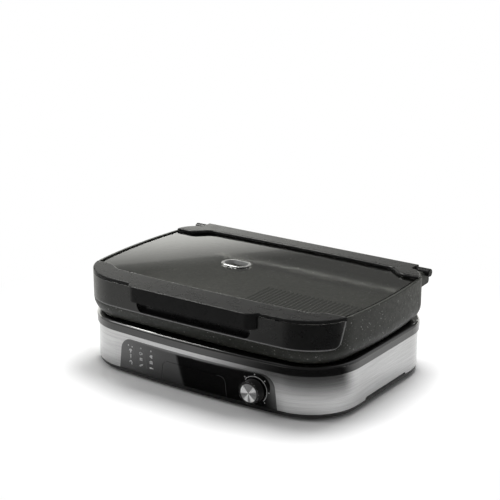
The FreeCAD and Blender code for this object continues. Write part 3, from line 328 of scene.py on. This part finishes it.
def spun_painted_sheen_color(tree):
    """Turned metal with a painted reflection: bright painted highlight wedges and dark ones that run to the
    middle, with fine rings.
    """
    offset = tree.vmath("SUBTRACT", tree.place(), knob_middle)
    flat = tree.vmath("MULTIPLY", offset, (1.0, 0.0, 1.0))
    spoke = tree.vmath("NORMALIZE", flat)
    sheen = tree.times(tree.noise(tree.stretched(spoke, WEDGE_NOISE), 1.0, 2.0), WEDGE_NOISE_SHARE)
    for angle, width, weight in PAINTED_WEDGES:
        turn = math.radians(angle)
        along = tree.dot(spoke, (math.cos(turn), 0.0, math.sin(turn)))
        sheen = tree.math("ADD", sheen, tree.ramp(along, math.cos(math.radians(width)), 1.0, 0.0, weight))
    rings = tree.math("SINE", tree.times(tree.length(flat), RING_WAVES))
    sheen = tree.math("MULTIPLY_ADD", rings, RING_SHARE, sheen, clamp=True)
    return tree.mix(sheen, CAP_PAINTED_DARK, CAP_PAINTED_BRIGHT)


# Oval ring of the vent in the lid: its middle, half the length of its middle line, and a radius just past its
# inner wall, which lies a little more than the rim in from the outside
VENT_RIM = 4.3 * MM
VENT_WALL_COLOR = grey(0.5)
vent_low, vent_high = node_box("vent_ring")
vent_middle = (vent_low + vent_high) / 2
vent_size = vent_high - vent_low
vent_half_line = (vent_size.x - vent_size.y) / 2
vent_inside = vent_size.y / 2 - VENT_RIM


def vent_wall(tree):
    """One on the inner wall of the vent's ring and zero elsewhere."""
    parts = tree.split(tree.vmath("SUBTRACT", tree.place(), vent_middle))
    reach = tree.span(tree.past(parts["X"], vent_half_line), parts["Y"])
    return tree.math("LESS_THAN", reach, vent_inside)


def vent_color(tree):
    """Metal outside and a pale satin wall inside."""
    return tree.mix(vent_wall(tree), varied(0.26, 0.34, 90.0), VENT_WALL_COLOR)


def vent_metal(tree):
    """One on metal and zero on the satin wall."""
    return tree.math("SUBTRACT", 1.0, vent_wall(tree))


# Front cover: its lower edge, its slanted ends with how far they lean over their height, the round corner
# between them, and the painted highlight, a pale line along both
COVER_LOW = 114.5 * MM
COVER_END = -109.3 * MM
COVER_LEAN = 12.0 * MM
COVER_HEIGHT = 46.5 * MM
COVER_CORNER = 12.0 * MM
COVER_HIGHLIGHT = (1.2 * MM, 3.2 * MM, 1.0, 0.0)
COVER_HIGHLIGHT_COLOR = grey(0.16)


def cover_color_with_painted_highlight(tree):
    """Satin black with a painted highlight: a thin pale line where the cover meets the pan."""
    parts = tree.split(tree.place())
    height = tree.math("SUBTRACT", parts["Z"], COVER_LOW)
    end = tree.math("MULTIPLY_ADD", height, COVER_LEAN / COVER_HEIGHT, COVER_END - COVER_LEAN)
    inside = tree.math("SUBTRACT", end, parts["Y"])
    nearest = tree.math("SMOOTH_MIN", height, inside, COVER_CORNER)
    return tree.mix(tree.ramp(nearest, *COVER_HIGHLIGHT), varied(0.006, 0.010, 50.0), COVER_HIGHLIGHT_COLOR)


# Smoked glass: its tint where it is darker and paler, how it mirrors, and how it bends light
GLASS_DARK = (0.855, 0.857, 0.845, 1)
GLASS_PALE = (0.885, 0.887, 0.875, 1)
GLASS_SHINE = grey(0.95)
GLASS_BENDING = 1.5


def smoked_glass(name):
    """Grey see-through pane: what lies behind shows darker, and it mirrors more at a flat angle."""
    material, tree = new_material(name)
    clear = tree.node("ShaderNodeBsdfTransparent")
    tree.feed(clear.inputs["Color"], mottled(GLASS_DARK, GLASS_PALE, 6.0, 2.0))
    gloss = tree.node("ShaderNodeBsdfGlossy")
    gloss.inputs["Color"].default_value = GLASS_SHINE
    tree.feed(gloss.inputs["Roughness"], wandering(0.01, 0.03, 40.0, 2.0))
    fresnel = tree.node("ShaderNodeFresnel")
    fresnel.inputs["IOR"].default_value = GLASS_BENDING
    outside = tree.math("SUBTRACT", 1.0, tree.node("ShaderNodeNewGeometry").outputs["Backfacing"])
    tree.show(tree.blend(tree.times(fresnel.outputs[0], outside), clear, gloss))
    materials[name] = material


# Radius to which the edges of the satin mouldings and of the lid's front frame look rounded
SOFT_EDGE = 1.2 * MM
FRAME_EDGE = 2.5 * MM

# Plastics, rubber, coating and glass
surface("base_plastic", varied(0.006, 0.012, 60.0), wandering(0.42, 0.55, 90.0), grain(1600.0, 0.04))
surface("foot_rubber", varied(0.012, 0.022, 120.0), wandering(0.7, 0.85, 80.0), grain(900.0, 0.08))
# The dark beads along the lid's pane, painted shadow of the gap to the rim, take this look
surface("seal_black", varied(0.003, 0.006, 300.0), wandering(0.6, 0.7, 200.0), grain(900.0, 0.01),
        Specular_IOR_Level=0.05)
surface("gloss_black", varied(0.0015, 0.003, 30.0), wandering(0.03, 0.06, 40.0), grain(25.0, 0.02, 1.0),
        Specular_IOR_Level=1.0, Coat_Weight=0.5)
surface("ring_black", varied(0.0015, 0.003, 40.0), wandering(0.08, 0.12, 40.0), grain(25.0, 0.01, 1.0),
        Specular_IOR_Level=0.8)
surface("knob_black", varied(0.010, 0.016, 80.0), wandering(0.28, 0.36, 120.0), grain(1500.0, 0.02))
satin("satin_black", varied(0.008, 0.013, 50.0), SOFT_EDGE, 0.11)
# The cover's look carries a painted highlight along its lower edge and ends
satin("cover_black", cover_color_with_painted_highlight, SOFT_EDGE, 0.4)
satin("frame_black", varied(0.008, 0.013, 50.0), FRAME_EDGE, 0.055)
surface("stone_coating", stone_color, wandering(0.36, 0.50, 160.0), grain(700.0, 0.05, 4.0),
        Specular_IOR_Level=0.22)
surface("resin", mottled((0.20, 0.15, 0.10, 1), (0.30, 0.24, 0.17, 1), 140.0, 4.0),
        wandering(0.5, 0.62, 90.0), grain(900.0, 0.05))
surface("wire_insulation", mottled((0.30, 0.02, 0.015, 1), (0.40, 0.035, 0.025, 1), 120.0),
        wandering(0.4, 0.5, 120.0), grain(700.0, 0.04))
smoked_glass("smoked_glass")

# Metals
brushed("brushed_band", 0.38, 0.51, (14.0, 14.0, 800.0), 0.16, 0.23, 0.008, Anisotropic=0.5,
        Tangent=round_upright)
brushed("reflector_sheet", 0.55, 0.68, (4.0, 300.0, 300.0), 0.22, 0.34, 0.01)
# The knob cap's colour is a painted reflection: bright and dark wedges of painted sheen
surface("spun_aluminium", spun_painted_sheen_color, wandering(0.26, 0.34, 900.0), grain(2500.0, 0.004), 0.35)
surface("dark_trim", varied(0.16, 0.24, 90.0), wandering(0.22, 0.30, 150.0), grain(800.0, 0.01), 1.0)
surface("vent_trim", vent_color, wandering(0.24, 0.30, 150.0), grain(800.0, 0.01), vent_metal)
surface("zinc_steel", varied(0.45, 0.58, 300.0), wandering(0.25, 0.38, 300.0), grain(900.0, 0.02), 1.0)
surface("element_sheath", mottled((0.11, 0.095, 0.08, 1), (0.22, 0.20, 0.18, 1), 45.0, 4.0),
        wandering(0.35, 0.5, 90.0), grain(600.0, 0.04), 1.0)
surface("brass_pin", mottled((0.55, 0.38, 0.14, 1), (0.68, 0.50, 0.22, 1), 250.0),
        wandering(0.2, 0.32, 300.0), grain(900.0, 0.02), 1.0)

# Prints
surface("print_grey", varied(0.38, 0.52, 600.0), wandering(0.40, 0.55, 400.0), grain(2500.0, 0.01))
# Grey of the printed column lines, and of the painted highlight along the drawer's edge
surface("print_and_highlight_grey", varied(0.05, 0.08, 500.0), wandering(0.30, 0.45, 300.0), grain(2500.0, 0.01))

# Each node takes the material of its slot, apart from those with a look of their own
slot_of = {row["node"]: row["material_slot"] for row in frame["record"]["subparts"]}
own_look = {"front_cover": "cover_black", "lid_front_frame": "frame_black", "top_ring": "ring_black",
            "knob_ring": "dark_trim", "vent_ring": "vent_trim", "vent_clip": "vent_trim"}
for name, node in nodes.items():
    node.material_slots[0].material = materials[own_look.get(name, slot_of[name])]

# Front of the control panel: where its middle lies, the radius of its bow, and how prints sit in and on it
panel_front = node_box("control_panel")[0].y
PANEL_BOW = 2.0641
PRINT_SUNK = 0.05 * MM
PRINT_PROUD = 0.12 * MM

# Prints: steps of an ellipse and of a half round, and how many millimetres a stroke runs past its ends
ELLIPSE_STEPS = 20
DOME_STEPS = 12
STROKE_LAP = 0.08


class Print:
    """Thin raised print or painted line on the bowed front panel, drawn in millimetres across and up."""

    def __init__(self, name, slot, material):
        self.name, self.slot, self.material = name, slot, material
        self.mesh = bmesh.new()

    def point(self, x, z, proud):
        x *= MM
        return Vector((x, panel_front + x * x / (2 * PANEL_BOW) - proud, z * MM))

    def polygon(self, points):
        back = [self.mesh.verts.new(self.point(x, z, -PRINT_SUNK)) for x, z in points]
        front = [self.mesh.verts.new(self.point(x, z, PRINT_PROUD)) for x, z in points]
        self.mesh.faces.new(front)
        self.mesh.faces.new(list(reversed(back)))
        for i in range(len(points)):
            j = (i + 1) % len(points)
            self.mesh.faces.new((front[i], back[i], back[j], front[j]))

    def ellipse(self, x, z, half_x, half_z, turn=0.0):
        c, s = math.cos(turn), math.sin(turn)
        self.polygon([(x + half_x * math.cos(a) * c - half_z * math.sin(a) * s,
                       z + half_x * math.cos(a) * s + half_z * math.sin(a) * c)
                      for a in [2 * math.pi * k / ELLIPSE_STEPS for k in range(ELLIPSE_STEPS)]])

    def stroke(self, points, width):
        """Line of even width, with a short piece for each step."""
        for (x0, z0), (x1, z1) in zip(points, points[1:]):
            length = math.hypot(x1 - x0, z1 - z0)
            ux, uz = (x1 - x0) / length, (z1 - z0) / length
            nx, nz = -uz * width / 2, ux * width / 2
            x0, z0 = x0 - ux * STROKE_LAP, z0 - uz * STROKE_LAP
            x1, z1 = x1 + ux * STROKE_LAP, z1 + uz * STROKE_LAP
            self.polygon([(x0 + nx, z0 + nz), (x0 - nx, z0 - nz), (x1 - nx, z1 - nz), (x1 + nx, z1 + nz)])

    def arc(self, x, z, radius, start, end, width, count):
        """Round line from one angle to another, in degrees."""
        steps = [math.radians(start + (end - start) * k / count) for k in range(count + 1)]
        outer, inner = radius + width / 2, radius - width / 2
        for a, b in zip(steps, steps[1:]):
            self.polygon([(x + r * math.cos(t), z + r * math.sin(t))
                          for r, t in ((outer, a), (outer, b), (inner, b), (inner, a))])

    def finish(self, body):
        bmesh.ops.recalc_face_normals(self.mesh, faces=self.mesh.faces)
        data = bpy.data.meshes.new(self.name)
        self.mesh.to_mesh(data)
        self.mesh.free()
        piece = bpy.data.objects.new(self.name, data)
        scene.collection.objects.link(piece)
        data.materials.append(self.material)
        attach(piece, body)


class Sign:
    """Small picture on a print, drawn in shares of its size about its middle."""

    def __init__(self, marks, x, z, size):
        self.marks, self.x, self.z, self.size = marks, x, z, size

    def at(self, across, up):
        return self.x + across * self.size, self.z + up * self.size

    def polygon(self, points):
        self.marks.polygon([self.at(*point) for point in points])

    def ellipse(self, across, up, half_x, half_z, turn=0.0):
        self.marks.ellipse(*self.at(across, up), half_x * self.size, half_z * self.size, turn)

    def stroke(self, points, width):
        self.marks.stroke([self.at(*point) for point in points], width * self.size)

    def arc(self, across, up, radius, start, end, width, count):
        self.marks.arc(*self.at(across, up), radius * self.size, start, end, width * self.size, count)

    def dome(self, up, half_x, height):
        """Upper half of an ellipse."""
        self.polygon([(half_x * math.cos(a), up + height * math.sin(a))
                      for a in [math.pi * k / DOME_STEPS for k in range(DOME_STEPS + 1)]])


def fish(sign):
    sign.ellipse(-0.15, 0.0, 0.62, 0.30)
    sign.polygon([(0.36, 0.0), (0.92, 0.36), (0.92, -0.36)])


def steak(sign):
    sign.ellipse(0.0, 0.1, 0.72, 0.46, 0.5)
    sign.ellipse(0.3, -0.38, 0.34, 0.28)


def sausages(sign):
    for shift in (-0.30, 0.30):
        sign.arc(0.0, shift - 0.75, 0.95, 50, 130, 0.34, 12)


def skewer(sign):
    sign.stroke([(-0.95, -0.55), (0.95, 0.55)], 0.14)
    for shift in (-0.45, 0.0, 0.45):
        sign.ellipse(shift, 0.58 * shift, 0.20, 0.36, 0.52)


def carrot(sign):
    sign.polygon([(-0.32, 0.35), (0.0, -0.85), (0.32, 0.35)])
    for shift in (-0.28, 0.0, 0.28):
        sign.stroke([(0.3 * shift, 0.4), (shift, 0.95)], 0.16)


def mushroom(sign):
    sign.dome(0.0, 0.8, 0.75)
    sign.polygon([(-0.22, -0.1), (-0.26, -0.7), (0.26, -0.7), (0.22, -0.1)])


def burger(sign):
    sign.dome(0.18, 0.75, 0.5)
    sign.stroke([(-0.8, -0.04), (0.8, -0.04)], 0.2)
    sign.stroke([(-0.7, -0.4), (0.7, -0.4)], 0.3)


def ring_slices(sign):
    sign.arc(-0.28, 0.0, 0.48, 0, 360, 0.2, 24)
    sign.arc(0.42, 0.1, 0.38, 0, 360, 0.18, 24)


def shrimp(sign):
    sign.arc(0.0, 0.0, 0.55, -60, 190, 0.36, 24)
    sign.ellipse(0.42, -0.62, 0.16, 0.30, 0.6)


# Panel in millimetres: lamp dots, columns and rows of signs, and the lines between the columns
LAMP_DOTS = ((-132.0, 54.0), (-124.0, 53.0), (-105.5, 54.5), (-84.5, 54.5))
LAMP_RADIUS = 1.25
SIGN_COLUMNS = (
    (-127.5, (mushroom, carrot, shrimp)),
    (-105.5, (ring_slices, sausages, skewer)),
    (-84.5, (steak, burger, fish)),
)
SIGN_ROWS = (45.5, 35.5, 26.0)
SIGN_SIZE = 4.3
COLUMN_LINES = (-116.5, -95.0)
COLUMN_LINE_LOW, COLUMN_LINE_HIGH = 22.0, 58.0
COLUMN_LINE_WIDTH = 0.35

# Painted highlight near the edge of the drawer's front, a thin pale line: its start, its left corner's middle
# and radius, and its width
DRAWER_START = (-61.9, 14.0)
DRAWER_CORNER_X, DRAWER_CORNER_Z = -49.6, 34.5
DRAWER_CORNER_RADIUS = 10.4
DRAWER_CORNER_STEPS = 12
DRAWER_HIGHLIGHT_WIDTH = 0.4

# Scale round the knob in millimetres and degrees: a round line, dots outside it and an arrow head
knob_x, knob_z = knob_middle.x / MM, knob_middle.z / MM
DIAL_RADIUS, DIAL_WIDTH = 21.4, 0.9
DIAL_START, DIAL_END = 128, -45
DIAL_STEPS = 64
DOT_DISTANCE, DOT_RADIUS = 24.8, 1.0
DOT_ANGLES = (135, 90, 45, 0, -45)
ARROW_HEAD = ((20.9, 128), (22.9, 132), (20.9, 146))


def draw_icons():
    marks = Print("panel_icons", "bright_trim", materials["print_grey"])
    for x, z in LAMP_DOTS:
        marks.ellipse(x, z, LAMP_RADIUS, LAMP_RADIUS)
    for x, signs in SIGN_COLUMNS:
        for z, draw in zip(SIGN_ROWS, signs):
            draw(Sign(marks, x, z, SIGN_SIZE))
    marks.finish("base")


def draw_column_lines():
    lines = Print("panel_lines", "gloss_black", materials["print_and_highlight_grey"])
    for x in COLUMN_LINES:
        lines.stroke([(x, COLUMN_LINE_LOW), (x, COLUMN_LINE_HIGH)], COLUMN_LINE_WIDTH)
    lines.finish("base")


# Painted highlight: a pale line round the drawer front's edge
def draw_drawer_edge_highlight():
    edge = Print("drawer_edge_highlight", "gloss_black", materials["print_and_highlight_grey"])
    left = [DRAWER_START]
    for step in range(DRAWER_CORNER_STEPS + 1):
        turn = math.radians(180 - 90 * step / DRAWER_CORNER_STEPS)
        left.append((DRAWER_CORNER_X + DRAWER_CORNER_RADIUS * math.cos(turn),
                     DRAWER_CORNER_Z + DRAWER_CORNER_RADIUS * math.sin(turn)))
    right = [(-x, z) for x, z in reversed(left)]
    edge.stroke(left + right, DRAWER_HIGHLIGHT_WIDTH)
    edge.finish("drip_tray")


def round_knob(distance, angle):
    """Point on the panel at a distance from the knob's middle, in a direction given in degrees."""
    turn = math.radians(angle)
    return knob_x + distance * math.cos(turn), knob_z + distance * math.sin(turn)


def draw_dial():
    dial = Print("dial_scale", "bright_trim", materials["print_grey"])
    dial.arc(knob_x, knob_z, DIAL_RADIUS, DIAL_START, DIAL_END, DIAL_WIDTH, DIAL_STEPS)
    for angle in DOT_ANGLES:
        dial.ellipse(*round_knob(DOT_DISTANCE, angle), DOT_RADIUS, DOT_RADIUS)
    dial.polygon([round_knob(distance, angle) for distance, angle in ARROW_HEAD])
    dial.finish("base")


draw_icons()
draw_column_lines()
draw_drawer_edge_highlight()
draw_dial()

# Dark beads along the sides of the lid's pane, a painted shadow standing for the shade in the gap to the
# pan's rim: their inset and radius, and where the sides lie
SHADE_BEAD_INSET = 0.6 * MM
SHADE_BEAD_RADIUS = 0.55 * MM
SHADE_BEAD_ROUNDNESS = 2
SIDE_FROM_MIDDLE = 0.2
SIDE_HALF_LENGTH = 0.112
LEVEL_SLACK = 0.1 * MM


def glass_gap_shade(name, side):
    """Thin dark bead of painted shadow along one side of the pane's upper face, between the two frames."""
    pane = nodes["lid_glass"].data.vertices
    top = max(v.co.z for v in pane)
    rim = sorted((v.co.y, abs(v.co.x)) for v in pane if v.co.z > top - LEVEL_SLACK
                 and v.co.x * side > SIDE_FROM_MIDDLE and abs(v.co.y) < SIDE_HALF_LENGTH)
    curve = bpy.data.curves.new(name, "CURVE")
    curve.dimensions = "3D"
    curve.bevel_depth = SHADE_BEAD_RADIUS
    curve.bevel_resolution = SHADE_BEAD_ROUNDNESS
    curve.use_fill_caps = True
    spline = curve.splines.new("POLY")
    spline.points.add(len(rim) - 1)
    for point, (y, x) in zip(spline.points, rim):
        point.co = (side * (x - SHADE_BEAD_INSET), y, top, 1.0)
    bead = bpy.data.objects.new(name, curve)
    scene.collection.objects.link(bead)
    curve.materials.append(materials["seal_black"])
    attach(bead, "lid")


for label, side in (("left", -1), ("right", 1)):
    glass_gap_shade("glass_gap_shade_" + label, side)


# Floor, world and lamps
def seen_rays(tree):
    """One for what the camera sees, straight or in mirrors and glass."""
    rays = tree.node("ShaderNodeLightPath").outputs
    return tree.math("MAXIMUM", rays["Is Camera Ray"],
                     tree.math("MAXIMUM", rays["Is Glossy Ray"], rays["Is Transmission Ray"]))


def mirror_rays(tree):
    return tree.node("ShaderNodeLightPath").outputs["Is Glossy Ray"]


def stage_sheet(name, corners, material, mirrors_only=False):
    data = bpy.data.meshes.new(name)
    data.from_pydata(corners, [], [(0, 1, 2, 3)])
    sheet = bpy.data.objects.new(name, data)
    scene.collection.objects.link(sheet)
    data.materials.append(material)
    if mirrors_only:
        sheet.visible_camera = False
        sheet.visible_diffuse = False
        sheet.visible_transmission = False
        sheet.visible_shadow = False


# Floor: half its width, its grey, its tint in mirrors, and where it fades to white
FLOOR_HALF = 6.0
FLOOR_GREY = grey(0.93)
FLOOR_IN_MIRRORS = (1, 1, 0.955, 1)
FLOOR_FADE = (0.28, 0.62)
CARD_BLACK = grey(0.005)

# Edges of the dark cards on the floor: where each starts and ends in metres, its strength before and after
NEAR_SOFT_EDGE = (-0.06, 0.14, 0.0, 0.55)
NEAR_SHARP_EDGE = (0.140, 0.158, 0.0, 0.985)
NEAR_REAR_EDGE = (0.10, 0.16, 0.0, 1.0)
NEAR_FRONT_EDGE = (0.2955, 0.3015, 1.0, 0.0)
NEAR_FRONT_SLOPE = -0.0875
NEAR_RIGHT_EDGE = (0.125, 0.165, 1.0, 0.0)
NEAR_RIGHT_START, NEAR_RIGHT_SLOPE = 0.172, 0.6
CORNER_HALF_X, CORNER_HALF_Y = 0.16, 0.09
CORNER_INNER_EDGE = (0.12, 0.23, 0.0, 1.0)
CORNER_LEFT_EDGE = (-0.12, 0.08, 0.0, 1.0)
CORNER_REAR_EDGE = (-0.05, 0.08, 0.0, 0.96)
FRONT_REAR_EDGE = (0.42, 0.52, 0.0, 1.0)
FRONT_LEFT_EDGE = (-0.5, -0.3, 0.0, 0.55)


def floor_cards(tree):
    """Strength of the dark cards: near the panel, round the front right corner and farther in front."""
    parts = tree.split(tree.place())
    across, back = parts["X"], parts["Y"]
    front = tree.times(back, -1.0)
    slant = tree.math("ADD", across, front)
    front_line = tree.math("MULTIPLY_ADD", across, NEAR_FRONT_SLOPE, front)
    right_line = tree.math("SUBTRACT", front, NEAR_RIGHT_START)
    right_line = tree.math("MULTIPLY_ADD", right_line, NEAR_RIGHT_SLOPE, across)
    near = tree.math("MAXIMUM", tree.ramp(slant, *NEAR_SOFT_EDGE), tree.ramp(slant, *NEAR_SHARP_EDGE))
    near = tree.times(near, tree.ramp(front_line, *NEAR_FRONT_EDGE), tree.ramp(right_line, *NEAR_RIGHT_EDGE),
                      tree.ramp(front, *NEAR_REAR_EDGE))
    reach = tree.span(tree.past(across, CORNER_HALF_X), tree.past(back, CORNER_HALF_Y))
    corner = tree.times(tree.ramp(reach, *CORNER_INNER_EDGE), tree.ramp(across, *CORNER_LEFT_EDGE),
                        tree.ramp(front, *CORNER_REAR_EDGE))
    far = tree.times(tree.ramp(front, *FRONT_REAR_EDGE), tree.ramp(across, *FRONT_LEFT_EDGE))
    return tree.math("MAXIMUM", near, tree.math("MAXIMUM", corner, far))


def make_floor():
    """Pale floor that fades to the white backdrop; mirrors see dark cards on its front part."""
    material, tree = new_material("floor")
    mirrored = mirror_rays(tree)
    dark = tree.times(floor_cards(tree), mirrored)
    plain = tree.mix(mirrored, grey(1.0), FLOOR_IN_MIRRORS)
    matte = tree.node("ShaderNodeBsdfDiffuse")
    tree.link(tree.mix(dark, FLOOR_GREY, CARD_BLACK), matte.inputs["Color"])
    white = tree.light("ShaderNodeEmission", tree.mix(dark, plain, CARD_BLACK), 1.0)
    far = tree.ramp(tree.length(tree.place()), *FLOOR_FADE)
    tree.show(tree.blend(tree.times(far, seen_rays(tree)), matte, white))
    corners = [(x * FLOOR_HALF, y * FLOOR_HALF, 0) for x, y in ((-1, -1), (1, -1), (1, 1), (-1, 1))]
    stage_sheet("floor", corners, material)


# Panel behind the left rear corner: its place and size, its colour, the direction in which its light falls
# off, and the strength along it as a fade and a small step
BACK_MIDDLE = Vector((-0.45, 0.62, 0))
BACK_HALF_WIDTH = 1.5
BACK_HEIGHT = 1.0
BACK_COLOR = (1, 1, 0.95, 1)
BACK_RISE = (0.082, 0.057, 1.0)
BACK_FADE = (0.295, 0.392, 2.5, 0.26)
BACK_STEP = (0.366, 0.372, 0.25, 0.0)


def make_back_panel():
    """Soft panel, bright near the floor and fading upwards, seen in mirrors only."""
    material, tree = new_material("back_panel")
    rise = tree.dot(tree.place(), BACK_RISE)
    strength = tree.math("ADD", tree.ramp(rise, *BACK_FADE), tree.ramp(rise, *BACK_STEP))
    tree.show(tree.light("ShaderNodeEmission", BACK_COLOR, strength))
    along = Vector((math.cos(VIEW_AZIMUTH), math.sin(VIEW_AZIMUTH), 0)) * BACK_HALF_WIDTH
    left, right = BACK_MIDDLE - along, BACK_MIDDLE + along
    top = Vector((0, 0, BACK_HEIGHT))
    stage_sheet("back_panel", [left, right, right + top, left + top], material, True)


# Panel up on the left: its corners, colour and strength
SIDE_CORNERS = [(-0.88, -0.5, 0.92), (-0.88, 0.3, 0.92), (-0.50, 0.3, 1.22), (-0.50, -0.5, 1.22)]
SIDE_COLOR = (1, 1, 0.96, 1)
SIDE_STRENGTH = 30.0


def make_side_panel():
    """Soft panel that edges and fillets mirror."""
    material, tree = new_material("side_panel")
    tree.show(tree.light("ShaderNodeEmission", SIDE_COLOR, SIDE_STRENGTH))
    stage_sheet("side_panel", SIDE_CORNERS, material, True)


# World: strength of its light on the object, the direction of the room's front side, and the room's greys
FILL_STRENGTH = 0.34
ROOM_FRONT = (0.57, -0.82, 0.0)
ROOM_FADE = (-0.4, 0.5)
ROOM_BEHIND, ROOM_IN_FRONT = grey(0.9), grey(0.15)


def make_world():
    """White backdrop; mirrors see a studio that is dimmer at the front right."""
    world = bpy.data.worlds.new("studio")
    scene.world = world
    world.use_nodes = True
    tree = Tree(world.node_tree)
    fill = tree.light("ShaderNodeBackground", grey(1.0), FILL_STRENGTH)
    towards = tree.dot(tree.node("ShaderNodeTexCoord").outputs["Generated"], ROOM_FRONT)
    room = tree.mix(tree.ramp(towards, *ROOM_FADE), ROOM_BEHIND, ROOM_IN_FRONT)
    white = tree.light("ShaderNodeBackground", tree.mix(mirror_rays(tree), grey(1.0), room), 1.0)
    tree.show(tree.blend(seen_rays(tree), fill, white), "ShaderNodeOutputWorld")


def area_lamp(name, place, target, width, height, power, in_mirrors):
    data = bpy.data.lights.new(name, "AREA")
    data.shape = "RECTANGLE"
    data.size = width
    data.size_y = height
    data.energy = power
    lamp = bpy.data.objects.new(name, data)
    scene.collection.objects.link(lamp)
    lamp.location = place
    lamp.rotation_mode = "QUATERNION"
    lamp.rotation_quaternion = (Vector(target) - Vector(place)).to_track_quat("-Z", "Y")
    lamp.visible_glossy = in_mirrors


make_floor()
make_back_panel()
make_side_panel()
make_world()
area_lamp("top_softbox", place=(0.0, 0.42, 2.1), target=(0, 0, 0.1), width=0.9, height=0.9, power=45.0,
          in_mirrors=False)
area_lamp("left_softbox", place=(-1.3, -1.0, 1.1), target=(0, 0, 0.12), width=0.7, height=0.9, power=7.0,
          in_mirrors=True)
